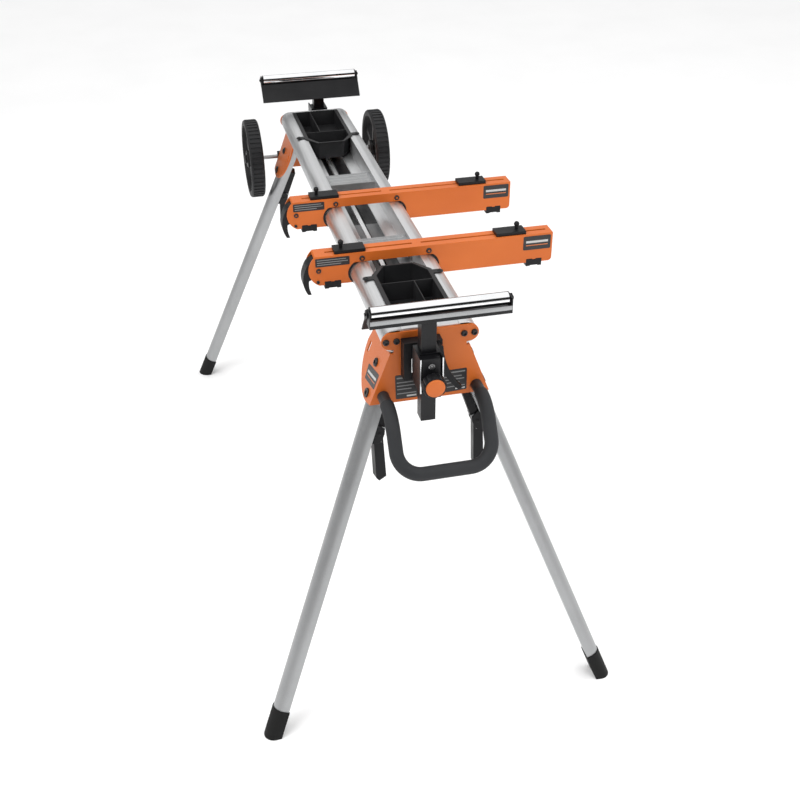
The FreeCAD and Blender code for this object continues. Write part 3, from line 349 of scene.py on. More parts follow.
def dress_for(name):
    """The longest key that the node's name starts with decides finish, slot and radius."""
    if name.startswith("leg_"):
        return leg_metal[name[4:]], "leg_aluminium", 0.5
    return DRESS[max((key for key in DRESS if name.startswith(key)), key=len)]


for name, node in frame["nodes"].items():
    node.data.materials.clear()
    node.data.materials.append(dress_for(name)[0])
print("dressed", len(frame["nodes"]), "nodes")

# %% [markdown]
# ## Edges that catch the light
#
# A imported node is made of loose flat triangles, so a rail shades like a stack of strips and its
# edges are razor sharp.  Real sheet and extrusions have a small radius everywhere.  A copy of the
# node is merged, its flat faces are joined up again, and a Bevel modifier rounds the edges; then
# the copy stands for the node.  The radius is a fraction of a millimetre on metal and more on
# mouldings.

# %% Merging and shading a mesh
MERGE = 1e-6
CREASE = math.radians(32)
FLAT = math.radians(0.5)


def shade_to_crease(mesh):
    """Shade smooth, with sharp edges above the crease angle."""
    mesh.shade_smooth()
    mesh.set_sharp_from_angle(angle=CREASE)


def merge_and_shade(mesh):
    """Merge doubles, face every side outwards, and shade smooth up to the crease angle."""
    work = bmesh.new()
    work.from_mesh(mesh)
    bmesh.ops.remove_doubles(work, verts=work.verts, dist=MERGE)
    bmesh.ops.recalc_face_normals(work, faces=work.faces)
    work.to_mesh(mesh)
    work.free()
    shade_to_crease(mesh)


def round_edges(piece, radius):
    """Bevel modifier on the sharp edges of a piece, in two steps."""
    bevel = piece.modifiers.new("rounded edges", "BEVEL")
    bevel.width, bevel.segments, bevel.limit_method = radius, 2, "ANGLE"
    return bevel


def add_piece(name, mesh, finish, body):
    """Object at the origin that rides on a body and wears the given finish."""
    mesh.materials.clear()
    mesh.materials.append(finish)
    piece = bpy.data.objects.new(name, mesh)
    bpy.context.scene.collection.objects.link(piece)
    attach(piece, body)
    return piece


def softened(name, radius, finish):
    """A merged copy of a node, with the edges above the crease angle rounded to the radius."""
    node = frame["nodes"][name]
    mesh = node.data.copy()
    work = bmesh.new()
    work.from_mesh(mesh)
    bmesh.ops.remove_doubles(work, verts=work.verts, dist=MERGE)
    bmesh.ops.dissolve_limit(work, angle_limit=FLAT, verts=work.verts, edges=work.edges)
    work.to_mesh(mesh)
    work.free()
    shade_to_crease(mesh)
    piece = add_piece(name + "_softened", mesh, finish, node["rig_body"])
    bevel = round_edges(piece, radius)
    bevel.angle_limit, bevel.harden_normals = CREASE, True
    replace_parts(piece, name)
    return piece


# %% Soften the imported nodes
MADE_NEW = ("bracket_bolts", "pivot_bolts", "tray_screws", "wheel_front", "wheel_rear",
            "clamp_knob_handle", "clamp_knob_wheel")

for name in frame["nodes"]:
    if name not in MADE_NEW:
        finish, slot, radius = dress_for(name)
        softened(name, radius * 0.001, finish)
print("softened", len(frame["nodes"]) - len(MADE_NEW), "nodes")

# %% [markdown]
# ## Surfaces from arrays
#
# Everything turned or moulded is one grid of points: rings that follow each other, with the same
# number of points in each.  One function makes the faces between neighbouring rings, and another
# turns a profile about an axis, as a lathe does.

# %% Rings to faces
def skin(rings, closed=False):
    """Points and faces of rings (ring, point, xyz); open ends get a cap, closed ones join up."""
    count, around = rings.shape[:2]
    index = np.arange(count * around).reshape(count, around)
    here = index if closed else index[:-1]
    after = np.roll(index, -1, axis=0) if closed else index[1:]
    quads = np.stack([here, np.roll(here, -1, 1), np.roll(after, -1, 1), after], axis=-1)
    faces = quads.reshape(-1, 4).tolist()
    if not closed:
        faces += [index[0][::-1].tolist(), index[-1].tolist()]
    return rings.reshape(-1, 3), faces


def across(axis):
    """The axis as a unit vector, and two more that are square to it and to each other."""
    axis = np.array(axis, float) / np.linalg.norm(axis)
    helper = np.array((0, 0, 1.0)) if abs(axis[2]) < 0.9 else np.array((1.0, 0, 0))
    first = np.cross(helper, axis)
    first /= np.linalg.norm(first)
    return axis, first, np.cross(axis, first)


def turned(profile, base, axis, around=32, factor=1.0):
    """Lathe: base + height x axis + radius x factor x (cos a, sin a) across the axis."""
    axis, first, second = across(axis)
    height, radius = np.array(profile, float).T
    angle = np.linspace(0, 2 * math.pi, around, endpoint=False)
    spread = radius[:, None] * np.broadcast_to(factor, (len(height), around))
    rings = (np.array(base) + height[:, None, None] * axis
             + (spread * np.cos(angle))[..., None] * first
             + (spread * np.sin(angle))[..., None] * second)
    return skin(rings)


def drawn_out(section, start, step):
    """Extrusion: the closed section of 3-D points at start, and again one step further."""
    section = np.array(section, float)
    return skin(np.stack([section + start, section + np.array(start) + step]))


def new_piece(name, parts, finish, body):
    """One object from several (points, faces), each with its own run of point numbers."""
    points, faces, start = [], [], 0
    for part_points, part_faces in parts:
        points.append(part_points)
        faces += [[number + start for number in face] for face in part_faces]
        start += len(part_points)
    mesh = bpy.data.meshes.new(name)
    mesh.from_pydata(np.concatenate(points).tolist(), [], faces)
    merge_and_shade(mesh)
    return add_piece(name, mesh, finish, body)


MM = 0.001
print("surface helpers ready")

# %% [markdown]
# ## Bolts
#
# The stand is held together with black button-head bolts: a low dome with a hexagonal socket for
# an Allen key.  The dome is a lathe profile; in the rings of the socket the radius follows a
# hexagon, whose radius is cos 30 over the cosine of the angle to the middle of the nearest flat.

# %% A button-head bolt
def hexagon(angle):
    """Radius of a hexagon with corner radius 1, at each angle."""
    return math.cos(math.pi / 6) / np.cos(angle % (math.pi / 3) - math.pi / 6)


DOME = ((0.0, 0.96), (0.12, 1.0), (0.4, 0.99), (0.65, 0.94), (0.85, 0.85), (1.0, 0.70),
        (1.0, 0.52), (0.45, 0.50), (0.42, 0.05))
SOCKET_RINGS = 3


def button_bolt(seat, axis, head, height, shank=0.0, length=0.0):
    """Dome head on its seat, with the shank running back from it along the axis."""
    around = 24
    rows = [(-length, shank), (0.0, shank)] if shank else []
    rows += [(h * height, r * head) for h, r in DOME]
    angle = np.linspace(0, 2 * math.pi, around, endpoint=False)
    factor = np.ones((len(rows), around))
    factor[-SOCKET_RINGS:] = hexagon(angle)
    return turned(rows, seat, axis, around, factor)


def solids_of(name):
    """Points of each separate solid in a node: joined points end up with the same number."""
    mesh = frame["nodes"][name].data
    points = np.empty(len(mesh.vertices) * 3)
    mesh.vertices.foreach_get("co", points)
    ends = np.empty(len(mesh.edges) * 2, int)
    mesh.edges.foreach_get("vertices", ends)
    merged, place = np.unique(points.reshape(-1, 3).round(6), axis=0, return_inverse=True)
    ends = place.ravel()[ends].reshape(-1, 2)
    label, before = np.arange(len(merged)), None
    while before is None or (label != before).any():
        before = label.copy()
        low = before[ends].min(axis=1)
        np.minimum.at(label, ends[:, 0], low)
        np.minimum.at(label, ends[:, 1], low)
    return [merged[label == number] for number in np.unique(label)]


def along_axis(points, axis):
    """Foot of a solid on its own axis, its length and its largest radius."""
    axis, first, second = across(axis)
    heights, sides, ups = points @ axis, points @ first, points @ second
    middle = ((sides.min() + sides.max()) * first + (ups.min() + ups.max()) * second) / 2
    return middle + heights.min() * axis, np.ptp(heights), np.ptp(sides) / 2


# %% Bolts of the brackets, the leg pivots and the trays
BOLT_HEAD, PIVOT_HEAD, SCREW_HEAD = 4.2 * MM, 4 * MM, 2 * MM
hinges = {joint["name"]: joint for joint in frame["joints"]}
bolts = []
for solid in solids_of("bracket_bolts"):
    axis = np.array((np.sign(solid[:, 0].mean()), 0, 0))
    foot, length, radius = along_axis(solid, axis)
    seat = foot + (length - 5 * MM) * axis
    bolts.append(button_bolt(seat, axis, radius, BOLT_HEAD, radius / 2, length - 5 * MM))
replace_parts(new_piece("bracket_button_bolts", bolts, bolt_black, "bed"),
            "bracket_bolts")

pivots, wing_seats = [], {}
for solid in solids_of("pivot_bolts"):
    middle = solid.mean(axis=0)
    end = "handle" if middle[0] > 0 else "wheel"
    side = "rear" if middle[1] > 0 else "front"
    axis = np.array(hinges["leg_fold_%s_%s" % (end, side)]["axis"], float)
    axis *= np.sign(axis[1] * middle[1])
    foot, length, radius = along_axis(solid, axis)
    seat = foot + (length - PIVOT_HEAD) * axis
    wing_seats[end, side] = (seat, axis)
    pivots.append(button_bolt(seat, axis, radius, PIVOT_HEAD, 5 * MM, length - PIVOT_HEAD))
    nut = ((0, 0.95 * radius), (1 * MM, radius), (5 * MM, radius), (6 * MM, 0.95 * radius))
    angle = np.linspace(0, 2 * math.pi, 24, endpoint=False)
    pivots.append(turned(nut, foot, axis, 24, hexagon(angle)))
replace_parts(new_piece("leg_pivot_bolts", pivots, bolt_black, "bed"),
            "pivot_bolts")

screws = []
for solid in solids_of("tray_screws"):
    foot, length, radius = along_axis(solid, (0, 0, 1))
    seat = foot + (0, 0, length - SCREW_HEAD)
    screws.append(button_bolt(seat, (0, 0, 1), radius, SCREW_HEAD, 2.2 * MM, length - SCREW_HEAD))
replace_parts(new_piece("tray_pan_screws", screws, bolt_black, "bed"),
            "tray_screws")
print("bolts:", len(bolts), "bracket,", len(pivots) // 2, "pivot,", len(screws), "tray")

# %% [markdown]
# Each arm has two tie bolts over the rails, its lever's pin and a small screw below that, on both
# of its faces.  Rivets hold the cross members to the ledges.

# %% Bolts of the arms and rivets of the cross members
ARM_BOLTS = ((-64.0, -12.0, 5.6), (71.0, -11.0, 5.6), (-151.0, -30.0, 5.2), (-153.0, -54.0, 3.4))
for end in ENDS:
    low, high, middle = span("arm_" + end)
    heads = []
    for y, drop, radius in ARM_BOLTS:
        for way in (1, -1):
            face = high[0] - 2 * MM if way > 0 else low[0] + 2 * MM
            heads.append(button_bolt((face, y * MM, high[2] + drop * MM), (way, 0, 0),
                                     radius * MM, 3 * MM))
    new_piece("arm_bolts_" + end, heads, bolt_black, "arm_" + end)

    low, high, middle = span("cross_member_" + end)
    rivets = []
    plate = high[2] - 1.5 * MM
    for x in (low[0] + 9 * MM, high[0] - 12 * MM):
        for y in (low[1] + 7 * MM, high[1] - 7 * MM):
            rivets.append(turned(((-1 * MM, 3.5 * MM), (0.4 * MM, 3.5 * MM), (1.4 * MM, 2.6 * MM),
                                  (1.9 * MM, 1.2 * MM), (2 * MM, 0.2 * MM)),
                                 (x, y, plate), (0, 0, 1), 20))
    new_piece("cross_rivets_" + end, rivets, plated_steel, "bed")
print("arm bolts and rivets made")

# %% [markdown]
# ## Wheels
#
# The wheels are one moulding each: a broad tread with about fifty flat bars across it and a plain
# band at each shoulder, five waisted spokes and a stepped hub.  The tread is a closed grid of
# angle against cross-section.  Only the points in the middle of the tread sink into the grooves,
# so each bar keeps crisp ends.

# %% Tread of a wheel
TREAD_BARS, GROOVE, BAND = 50, 2.2 * MM, 5 * MM


def tread(centre, radius, width, depth):
    """Ring: radius(angle, across) = the section's radius - groove where a bar is missing."""
    half = width / 2
    middle = np.linspace(BAND - half, half - BAND, 4)
    left = [(-half + 1 * MM, radius - depth), (-half, radius - depth + 1.5 * MM),
            (-half, radius - 4 * MM), (-half + 1.2 * MM, radius - 2 * MM),
            (-half + 3.4 * MM, radius - 0.6 * MM), (-half + BAND - 0.7 * MM, radius)]
    offset = np.array([p[0] for p in left] + list(middle) + [-p[0] for p in left[::-1]]
                      + [half / 3, -half / 3])
    level = np.array([p[1] for p in left] + [radius] * 4 + [p[1] for p in left[::-1]]
                     + [radius - depth - 1.5 * MM] * 2)
    share = np.array((0.0, 0.44, 0.52, 0.92))
    sunk = np.tile((0.0, 0.0, 1.0, 1.0), TREAD_BARS)
    angle = ((np.arange(TREAD_BARS)[:, None] + share) / TREAD_BARS).ravel() * 2 * math.pi
    grooved = np.isin(np.arange(len(offset)), np.arange(6, 10))
    reach = level - GROOVE * sunk[:, None] * grooved
    rings = np.stack([reach * np.cos(angle)[:, None], np.broadcast_to(offset, reach.shape),
                      reach * np.sin(angle)[:, None]], axis=-1)
    return skin(rings + centre, closed=True)


# %% Spokes and hub
SPOKES = 5


def spoke(centre, turn, inner, outer, thick):
    """Waisted bar: its half width is least half way out and flares to the hub and the rim."""
    out = np.linspace(inner, outer, 9)
    share = np.linspace(-1, 1, 9)
    half = (6 + 9 * share ** 4) * MM
    lift_half = np.full(9, thick / 2)
    corner = np.array(((-1, -0.8), (-0.8, -1), (0.8, -1), (1, -0.8), (1, 0.8), (0.8, 1),
                       (-0.8, 1), (-1, 0.8)))
    side = half[:, None] * corner[:, 0]
    depth = lift_half[:, None] * corner[:, 1]
    along = np.broadcast_to(out[:, None], side.shape)
    rings = np.stack([along * math.cos(turn) - side * math.sin(turn), depth,
                      along * math.sin(turn) + side * math.cos(turn)], axis=-1)
    return skin(rings + centre)


for side, way in SIDES.items():
    low, high, centre = span("wheel_" + side)
    radius, width = (high[0] - low[0]) / 2, high[1] - low[1]
    parts = [tread(centre, radius, width, 15 * MM)]
    parts += [spoke(centre, 2 * math.pi * (number + 0.25) / SPOKES, 15 * MM, radius - 14 * MM,
                    16 * MM) for number in range(SPOKES)]
    hub = ((0, 5.1), (0, 20), (1.5, 22), (6, 22), (10, 19), (25.5, 19), (29.5, 22), (34, 22),
           (35.5, 20), (35.5, 5.1))
    parts.append(turned([(h * MM, r * MM) for h, r in hub],
                        (centre[0], low[1], centre[2]), (0, 1, 0), 48))
    wheel = new_piece("wheel_moulding_" + side, parts, wheel_plastic, "wheel_" + side)
    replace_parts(wheel, "wheel_" + side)
    cap = ((0, 10.5), (1.2, 11.5), (3.4, 11.2), (5.2, 8.5), (6.0, 4.5), (6.2, 0.4))
    low, high, middle = span("axle")
    edge = high[1] if way > 0 else low[1]
    new_piece("axle_cap_" + side, [turned([(h * MM, r * MM) for h, r in cap],
                                          (middle[0], edge - way * 4.2 * MM, middle[2]),
                                          (0, way, 0), 40)],
              lever_plastic, "bed")
print("wheels with", TREAD_BARS, "bars each")

# %% [markdown]
# ## Clamp knobs
#
# The knob has to be gripped with gloves, so fourteen shallow flutes run along its rim: the radius
# drops by a few percent wherever the cosine of fourteen times the angle is near one.  A separate
# orange disc is pressed into its face.

# %% Knob and disc
FLUTES = 14
for end, way in ENDS.items():
    low, high, middle = span("clamp_knob_" + end)
    back = low[0] if way > 0 else high[0]
    base = (back, middle[1], middle[2])
    rows = ((0, 4), (20.6, 4), (20.6, 10), (26.6, 10), (26.6, 17.8), (27.6, 20.2), (29.5, 21.5),
            (42.5, 21.5), (44.6, 20.7), (45.6, 18.8), (45.6, 17.6), (44.6, 17.3))
    angle = np.linspace(0, 2 * math.pi, FLUTES * 8, endpoint=False)
    flute = 0.5 + 0.5 * np.cos(FLUTES * angle)
    depth = np.array([0, 0, 0, 0, 0.02, 0.07, 0.09, 0.09, 0.07, 0.03, 0, 0])
    factor = 1 - depth[:, None] * flute ** 2
    knob = new_piece("fluted_knob_" + end,
                     [turned([(h * MM, r * MM) for h, r in rows], base, (way, 0, 0),
                             FLUTES * 8, factor)],
                     lever_plastic, "clamp_knob_" + end)
    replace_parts(knob, "clamp_knob_" + end)
    face = ((43.5, 17), (46.6, 17), (47.4, 16.5), (47.7, 15.8), (48.0, 8), (48.1, 0.4))
    new_piece("knob_disc_" + end,
              [turned([(h * MM, r * MM) for h, r in face], base, (way, 0, 0), 64)],
              disc_plastic, "clamp_knob_" + end)
print("knobs with", FLUTES, "flutes")

# %% [markdown]
# ## Post clamps, rollers and tubes
#
# Between the cheeks of each post clamp sits a black liner with a rivet above the knob, and the
# front edges of the cheeks are worn to bare metal.  The rollers have black end bands, their brackets
# carry a grey wear strip, and the open ends of the posts are closed with plastic plugs.

# %% Rounded rectangle and plate
CORNER_STEPS = 5


def rounded(half_wide, half_high, corner):
    """Outline of a rounded rectangle: quarter circles round its four corners."""
    quarter = np.linspace(0, math.pi / 2, CORNER_STEPS)
    turns = (np.arange(4)[:, None] * math.pi / 2 + quarter).ravel()
    quarters = np.array(((1, 1), (-1, 1), (-1, -1), (1, -1)))
    signs = np.repeat(quarters, CORNER_STEPS, axis=0)
    return (signs * (half_wide - corner, half_high - corner)
            + corner * np.stack([np.cos(turns), np.sin(turns)], axis=-1))


def block(centre, half, corner, axis):
    """Rounded rectangle drawn along X, Y or Z, with its rims drawn in a little at both ends."""
    others = [number for number in range(3) if number != axis]
    rings = []
    easing = min(corner, half[axis] / 3) * 0.5
    for place, inset in ((-half[axis], easing), (easing - half[axis], 0.0),
                         (half[axis] - easing, 0.0), (half[axis], easing)):
        outline = rounded(half[others[0]] - inset, half[others[1]] - inset, corner)
        ring = np.empty((len(outline), 3))
        ring[:, others[0]], ring[:, others[1]], ring[:, axis] = outline.T[0], outline.T[1], place
        rings.append(ring + centre)
    return skin(np.stack(rings))


# %% Liners, end bands, wear strips and plugs
CHEEK = 3.5 * MM
for end, way in ENDS.items():
    low, high, middle = span("post_clamp_" + end)
    face = high[0] if way > 0 else low[0]
    post_low, post_high, post_middle = span("post_" + end)
    post_face = post_high[0] if way > 0 else post_low[0]
    near, far = post_face + way * 2.5 * MM, face - way * 1.5 * MM
    liner_middle = ((near + far) / 2, middle[1], middle[2] - 1 * MM)
    liner_half = (abs(far - near) / 2, 17.6 * MM, (high[2] - low[2]) / 2 - 2 * MM)
    new_piece("clamp_liner_" + end, [block(liner_middle, liner_half, 3 * MM, 2)], lever_plastic,
              "extension_" + end)
    knob_height = span("clamp_knob_" + end)[2][2]
    rivet = ((0, 5.6), (1.0, 5.6), (1.6, 4.8), (1.6, 3.4), (1.0, 3.2), (1.0, 2.4), (2.0, 1.8),
             (2.2, 0.2))
    new_piece("clamp_rivet_" + end, [turned([(h * MM, r * MM) for h, r in rivet],
                                            (far, middle[1], knob_height + 28 * MM), (way, 0, 0),
                                            32)],
              axle_steel, "extension_" + end)

    low, high, middle = span("post_clamp_" + end)
    half_wide = (high[1] - low[1]) / 2
    edges = [block((face + way * 0.1 * MM, middle[1] + side_way * (half_wide - CHEEK / 2),
                    middle[2]),
                   (0.5 * MM, CHEEK / 2 - 0.5 * MM, (high[2] - low[2]) / 2 - 1 * MM), 0.3 * MM, 2)
             for side_way in (1, -1)]
    new_piece("clamp_edges_" + end, edges, bright_plate, "extension_" + end)

    low, high, middle = span("roller_" + end)
    radius = (high[2] - low[2]) / 2
    bands = []
    for side_way in (1, -1):
        edge = (middle[0], (high[1] if side_way > 0 else low[1]) - side_way * 1.4 * MM, middle[2])
        band = ((0, radius - 0.5 * MM), (0, radius + 0.15 * MM), (1.4 * MM, radius + 0.15 * MM),
                (1.8 * MM, radius - 1 * MM), (1.8 * MM, 3.3 * MM))
        bands.append(turned(band, edge, (0, side_way, 0), 48))
    new_piece("roller_bands_" + end, bands, lever_plastic, "roller_" + end)

    low, high, middle = span("roller_bracket_" + end)
    lip = high[0] if way > 0 else low[0]
    strip = (lip + way * 0.3 * MM, 0, low[2] + 11 * MM)
    new_piece("bracket_strip_" + end,
              [block(strip, (0.5 * MM, 124.5 * MM, 4.2 * MM), 0.4 * MM, 1)],
              plated_steel, "post_" + end)
    plug = (post_middle[0], post_middle[1], post_low[2] + 3 * MM)
    new_piece("post_plug_" + end, [block(plug, (11.4 * MM, 11.4 * MM, 5 * MM), 2 * MM, 2)],
              lever_plastic, "post_" + end)
print("clamps, rollers and posts dressed")

# %% [markdown]
# ## Clips and straps
#
# Black clips grip the lower edge of each arm near both ends; a saw's feet rest against them when
# the arms are stored.  Their side view is one outline with a notch in the top and a step below.

# %% Clips under the arms and straps on the lock housings
CLIP = ((0, 0), (8, 0), (8.8, 1.5), (24.2, 1.5), (25, 0), (33, 0), (33, 15), (32, 16), (20.2, 16),
        (19.5, 14.5), (13.5, 14.5), (12.8, 16), (1, 16), (0, 15))
CLIP_AT = (-140.0, 276.0)
for end in ENDS:
    low, high, middle = span("arm_" + end)
    wide = high[0] - low[0] - 2 * 1.2 * MM
    clips = []
    for start in CLIP_AT:
        outline = np.array([(0, y * MM, z * MM) for y, z in CLIP])
        corner = (middle[0] - wide / 2, start * MM, low[2] - 8 * MM)
        clips.append(drawn_out(outline, corner, (wide, 0, 0)))
    clip_piece = new_piece("arm_clips_" + end, clips, lever_plastic, "arm_" + end)
    round_edges(clip_piece, 0.7 * MM)

low, high, middle = span("lock_housings")
for end, way in ENDS.items():
    face = high[0] if way > 0 else low[0]
    place = (face + way * 0.6 * MM, -way * 37 * MM, low[2] + 30 * MM)
    new_piece("housing_strap_" + end, [block(place, (1.0 * MM, 3.7 * MM, 14.5 * MM), 1 * MM, 2)],
              bright_plate, "bed")
print("clips and straps made")

# %% [markdown]
# ## Lever housings
#
# Each release lever turns on a pin between two black cheeks moulded on the leg's inner face.  The
# lever's own joint gives the pin's place and direction, the leg's joint gives the way out, and the
# third direction runs up the leg; a cheek is one wedge outline in those last two, drawn along the
# pin.

# %% Cheeks and pin heads of the release levers
CHEEK_OUTLINE = ((10.5, 19), (10.5, -22), (-4, -18.5), (-9.5, -12), (-10.2, 3), (-7.5, 12))
CHEEK_IN, CHEEK_OUT, PIN_HEAD = 12.3 * MM, 16 * MM, 3.8 * MM
for end in ENDS:
    for side in SIDES:
        where = "%s_%s" % (end, side)
        squeeze, fold = hinges["release_squeeze_" + where], hinges["leg_fold_" + where]
        pin = np.array(squeeze["pos_m"])
        along = np.array(squeeze["axis"])
        outwards = np.array(fold["axis"]) * np.sign(fold["axis"][1] * fold["pos_m"][1])
        up_leg = np.cross(along, outwards)
        up_leg *= np.sign(up_leg[2])
        outline = np.array([a * MM * outwards + b * MM * up_leg for a, b in CHEEK_OUTLINE])
        cheeks = []
        for way in (1, -1):
            cheeks.append(drawn_out(outline, pin + way * CHEEK_IN * along,
                                    way * (CHEEK_OUT - CHEEK_IN) * along))
            head = ((-1 * MM, PIN_HEAD), (0.7 * MM, PIN_HEAD), (1.2 * MM, 0.8 * PIN_HEAD),
                    (1.3 * MM, 0.1 * PIN_HEAD))
            cheeks.append(turned(head, pin + way * CHEEK_OUT * along, way * along, 24))
        cheek_piece = new_piece("lever_cheeks_" + where, cheeks, lever_plastic, "leg_" + where)
        round_edges(cheek_piece, 0.6 * MM)
print("lever housings made")

# %% [markdown]
# ## Stickers
#
# The real stand wears printed labels.  These are plain ones: a black ground, pale bars where a
# table of instructions would be, and one orange line.  A sticker is a rounded rectangle laid over
# four corners, standing 0.25 mm proud, with a UV map, so the print follows it wherever it is.

# %% Print of a sticker
def sticker_print(name, ground, bars):
    """Material with each bar as the product of four steps in u and v."""
    material, tree, shader = new_finish(name)
    place = tree.nodes.new("ShaderNodeUVMap")
    place.uv_map = "print"
    split = tree.nodes.new("ShaderNodeSeparateXYZ")
    tree.links.new(place.outputs["UV"], split.inputs["Vector"])

    def step(axis, operation, edge):
        node = tree.nodes.new("ShaderNodeMath")
        node.operation = operation
        node.inputs[1].default_value = edge
        tree.links.new(split.outputs[axis], node.inputs[0])
        return node.outputs[0]

    def both(first, second):
        node = tree.nodes.new("ShaderNodeMath")
        node.operation = "MULTIPLY"
        tree.links.new(first, node.inputs[0])
        tree.links.new(second, node.inputs[1])
        return node.outputs[0]

    scuffs = placed_noise(tree, 260.0, detail=4.0)
    colour = blend_colours(tree, scuffs, ground, tuple(1.6 * c for c in ground), 0.5, 0.8)
    for left, right, low, high, ink in bars:
        inside = both(both(step("X", "GREATER_THAN", left), step("X", "LESS_THAN", right)),
                      both(step("Y", "GREATER_THAN", low), step("Y", "LESS_THAN", high)))
        colour = blend_colours(tree, inside, colour, ink, 0.0, 1.0)
    tree.links.new(colour, shader.inputs["Base Color"])
    tree.links.new(between(tree, scuffs, 0.32, 0.48), shader.inputs["Roughness"])
    lift(tree, shader, scuffs, 0.00002)
    return material


INK, PALE, WARM = (0.012, 0.012, 0.013), (0.50, 0.50, 0.49), (0.55, 0.14, 0.03)
GREY = (0.22, 0.22, 0.22)
table_print = sticker_print("table_print", INK, [
    (0.07, 0.93, 0.84, 0.90, GREY), (0.07, 0.80, 0.66, 0.70, GREY),
    (0.07, 0.90, 0.52, 0.56, GREY), (0.07, 0.72, 0.38, 0.42, GREY),
    (0.07, 0.93, 0.20, 0.24, GREY), (0.50, 0.93, 0.07, 0.13, PALE)])
notice_print = sticker_print("notice_print", INK, [
    (0.05, 0.90, 0.72, 0.80, GREY), (0.05, 0.95, 0.46, 0.54, GREY),
    (0.05, 0.75, 0.20, 0.28, GREY)])
badge_print = sticker_print("badge_print", INK, [
    (0.10, 0.90, 0.50, 0.66, PALE), (0.10, 0.90, 0.30, 0.36, WARM)])


# %% Lay a sticker over four corners
SUNK, PROUD, CORNER_SHARE = 0.05 * MM, 0.25 * MM, 0.06


def sticker(name, corners, normal, body, finish):
    """Surface: bilinear between the corners, raised by its thickness along the normal."""
    corners, normal = np.array(corners, float), np.array(normal, float)
    outline = rounded(0.5, 0.5, CORNER_SHARE) + 0.5
    u, v = outline[:, :1], outline[:, 1:]
    flat = ((1 - u) * (1 - v) * corners[0] + u * (1 - v) * corners[1]
            + u * v * corners[2] + (1 - u) * v * corners[3])
    rings = np.stack([flat - SUNK * normal, flat + PROUD * normal])
    piece = new_piece(name, [skin(rings)], finish, body)
    mesh = piece.data
    layer = mesh.uv_layers.new(name="print")
    index = np.empty(len(mesh.loops), int)
    mesh.loops.foreach_get("vertex_index", index)
    layer.data.foreach_set("uv", np.tile(outline, (2, 1))[index].ravel())
    return piece


def plate_corners(x, rectangle):
    """Corners of a sticker on a plate square to X, from (y, z) pairs in millimetres."""
    return [(x, y * MM, z * MM) for y, z in rectangle]


# %% Stickers on the bracket, its wing and the arms
face = span("bracket_handle")[1][0]
sticker("bracket_table_left", plate_corners(face, ((-64.2, 681), (-22.5, 681), (-24.5, 732),
                                                   (-65.5, 732))),
        (1, 0, 0), "bed", table_print)
sticker("bracket_table_right", plate_corners(face, ((28.6, 682), (70, 684), (69.6, 730),
                                                    (21.2, 729))),
        (1, 0, 0), "bed", table_print)
for end in ENDS:
    low, high, middle = span("arm_" + end)
    side_face = high[0] - 2 * MM
    top = high[2] / MM
    sticker("arm_notice_" + end,
            plate_corners(side_face, ((-157, top - 22), (-89, top - 22), (-89, top - 4),
                                      (-157, top - 4))),
            (1, 0, 0), "arm_" + end, notice_print)
    sticker("arm_badge_" + end,
            plate_corners(side_face, ((268, top - 34), (326, top - 34), (326, top - 4),
                                      (268, top - 4))),
            (1, 0, 0), "arm_" + end, badge_print)


WING_BADGE = ((-24, -48), (36, -38), (35, -7), (-31, -20))
seat, outward = wing_seats["handle", "front"]
up_wing = np.cross(outward, (1, 0, 0))
up_wing *= np.sign(up_wing[2])
corners = [seat + (x * MM, 0, 0) + rise * MM * up_wing for x, rise in WING_BADGE]
sticker("wing_badge", corners, outward, "bed", badge_print)
print("stickers laid")


# %% [markdown]
# ## Floor, light and camera
#
# The floor is pale and plain.  The light comes from a bright ceiling, with a broad soft lamp on the
# user's side, a weaker one from the far side to lift the black parts, and one at the handle's end
# that adds light to the bracket but no glints.

# %% Floor and world
def flat_floor(half):
    """Square of the given half width at the height of the soles."""
    mesh = bpy.data.meshes.new("floor")
    corners = [(-half, -half, 0), (half, -half, 0), (half, half, 0), (-half, half, 0)]
    mesh.from_pydata(corners, [], [(0, 1, 2, 3)])
    floor = bpy.data.objects.new("floor", mesh)
    bpy.context.scene.collection.objects.link(floor)
    return floor


floor = flat_floor(40.0)
material, tree, shader = new_finish("pale_floor")
speckle = placed_noise(tree, 3.0, detail=3.0)
tree.links.new(blend_colours(tree, speckle, (0.93, 0.93, 0.93), (0.95, 0.95, 0.95)),
               shader.inputs["Base Color"])
shader.inputs["Roughness"].default_value = 0.8
floor.data.materials.append(material)


# %% [markdown]
# A white room makes chrome look like paper.  A studio has dark walls and a bright ceiling, so the
# world is dark above the horizon and white overhead, by the height of the direction.
# The wall at the handle's end is the tall one: there the height is lowered by a share of X.  What
# stands behind the object stays white, because the camera sees its own plain backdrop.

# %% World
WALL_TOP, WALL_TONE, TALL_WALL = (0.29, 0.40), (0.02, 1.0), 0.4
world = bpy.data.worlds.new("studio")
bpy.context.scene.world = world
world.use_nodes = True
tree = world.node_tree
room = tree.nodes["Background"]
room.inputs["Strength"].default_value = 1.2
direction = tree.nodes.new("ShaderNodeTexCoord")
height = tree.nodes.new("ShaderNodeSeparateXYZ")
tree.links.new(direction.outputs["Generated"], height.inputs["Vector"])
walls = tree.nodes.new("ShaderNodeValToRGB")
for stop, position, value in zip(walls.color_ramp.elements, WALL_TOP, WALL_TONE):
    stop.position, stop.color = position, (value, value, value, 1)
facing = tree.nodes.new("ShaderNodeMath")
facing.operation, facing.inputs[1].default_value = "MAXIMUM", 0.0
tree.links.new(height.outputs["X"], facing.inputs[0])
lowered = tree.nodes.new("ShaderNodeMath")
lowered.operation, lowered.inputs[1].default_value = "MULTIPLY_ADD", -TALL_WALL
tree.links.new(facing.outputs[0], lowered.inputs[0])
tree.links.new(height.outputs["Z"], lowered.inputs[2])
tree.links.new(lowered.outputs[0], walls.inputs["Fac"])
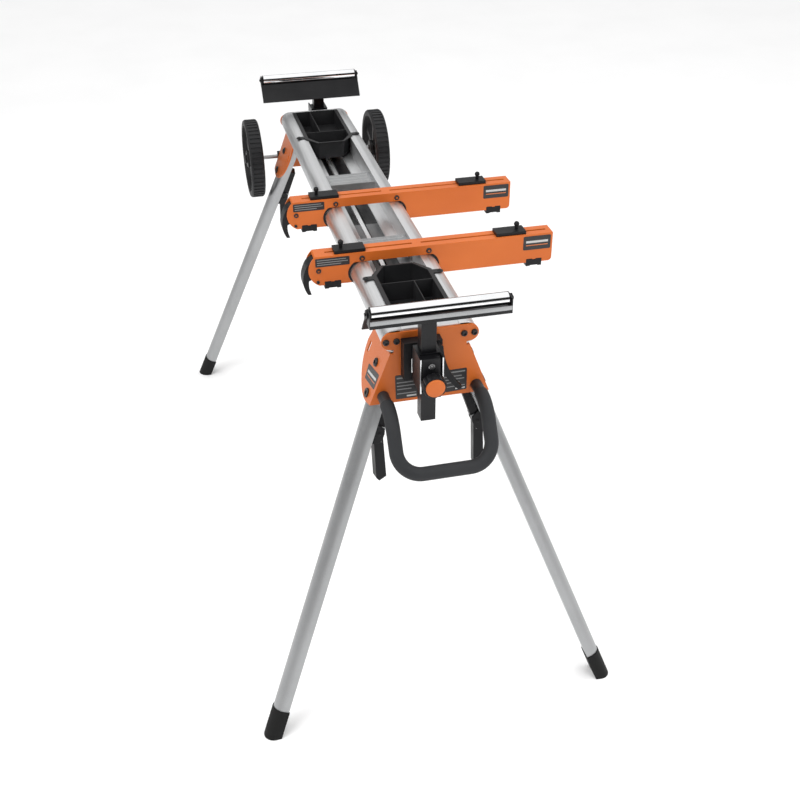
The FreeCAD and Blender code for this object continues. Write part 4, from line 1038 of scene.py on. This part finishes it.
tree.links.new(walls.outputs["Color"], room.inputs["Color"])
backdrop = tree.nodes.new("ShaderNodeBackground")
backdrop.inputs["Color"].default_value = (0.93, 0.93, 0.93, 1)
backdrop.inputs["Strength"].default_value = 1.0
rays = tree.nodes.new("ShaderNodeLightPath")
choice = tree.nodes.new("ShaderNodeMixShader")
tree.links.new(rays.outputs["Is Camera Ray"], choice.inputs["Fac"])
tree.links.new(room.outputs["Background"], choice.inputs[1])
tree.links.new(backdrop.outputs["Background"], choice.inputs[2])
tree.links.new(choice.outputs["Shader"], tree.nodes["World Output"].inputs["Surface"])


# %% Lamps
def soft_lamp(name, place, target, size, power):
    """Square area lamp that faces a target."""
    data = bpy.data.lights.new(name, "AREA")
    data.size = size
    data.energy = power
    lamp = bpy.data.objects.new(name, data)
    lamp.location = place
    aim = Vector(target) - Vector(place)
    lamp.rotation_euler = aim.to_track_quat("-Z", "Y").to_euler()
    bpy.context.scene.collection.objects.link(lamp)
    return lamp


soft_lamp("key", (1.6, -2.2, 3.4), (0, 0, 0.7), 2.2, 68)
soft_lamp("fill", (0.5, 3.0, 2.4), (0, 0, 0.6), 2.5, 30)
front = soft_lamp("front", (3.2, 1.4, 2.0), (0, 0, 0.6), 2.0, 40)
front.visible_glossy = False
bpy.context.scene.view_settings.view_transform = "Standard"

# %% Camera
CAMERA_PLACE = Vector((2.302, -0.462, 1.809))
AZIMUTH, ELEVATION, ROLL = math.radians(76.593), math.radians(32.866), math.radians(-0.241)

back = Vector((math.sin(AZIMUTH) * math.cos(ELEVATION), -math.cos(AZIMUTH) * math.cos(ELEVATION),
               math.sin(ELEVATION)))
right = (-back).cross(Vector((0, 0, 1))).normalized()
up = back.cross(right)
turned_right = right * math.cos(ROLL) + up * math.sin(ROLL)
turned_up = up * math.cos(ROLL) - right * math.sin(ROLL)
camera_data = bpy.data.cameras.new("camera")
camera_data.lens, camera_data.sensor_width = 51.27, 36.0
camera = bpy.data.objects.new("camera", camera_data)
camera.matrix_world = (Matrix.Translation(CAMERA_PLACE)
                       @ Matrix((turned_right, turned_up, back)).transposed().to_4x4())
bpy.context.scene.collection.objects.link(camera)
bpy.context.scene.camera = camera
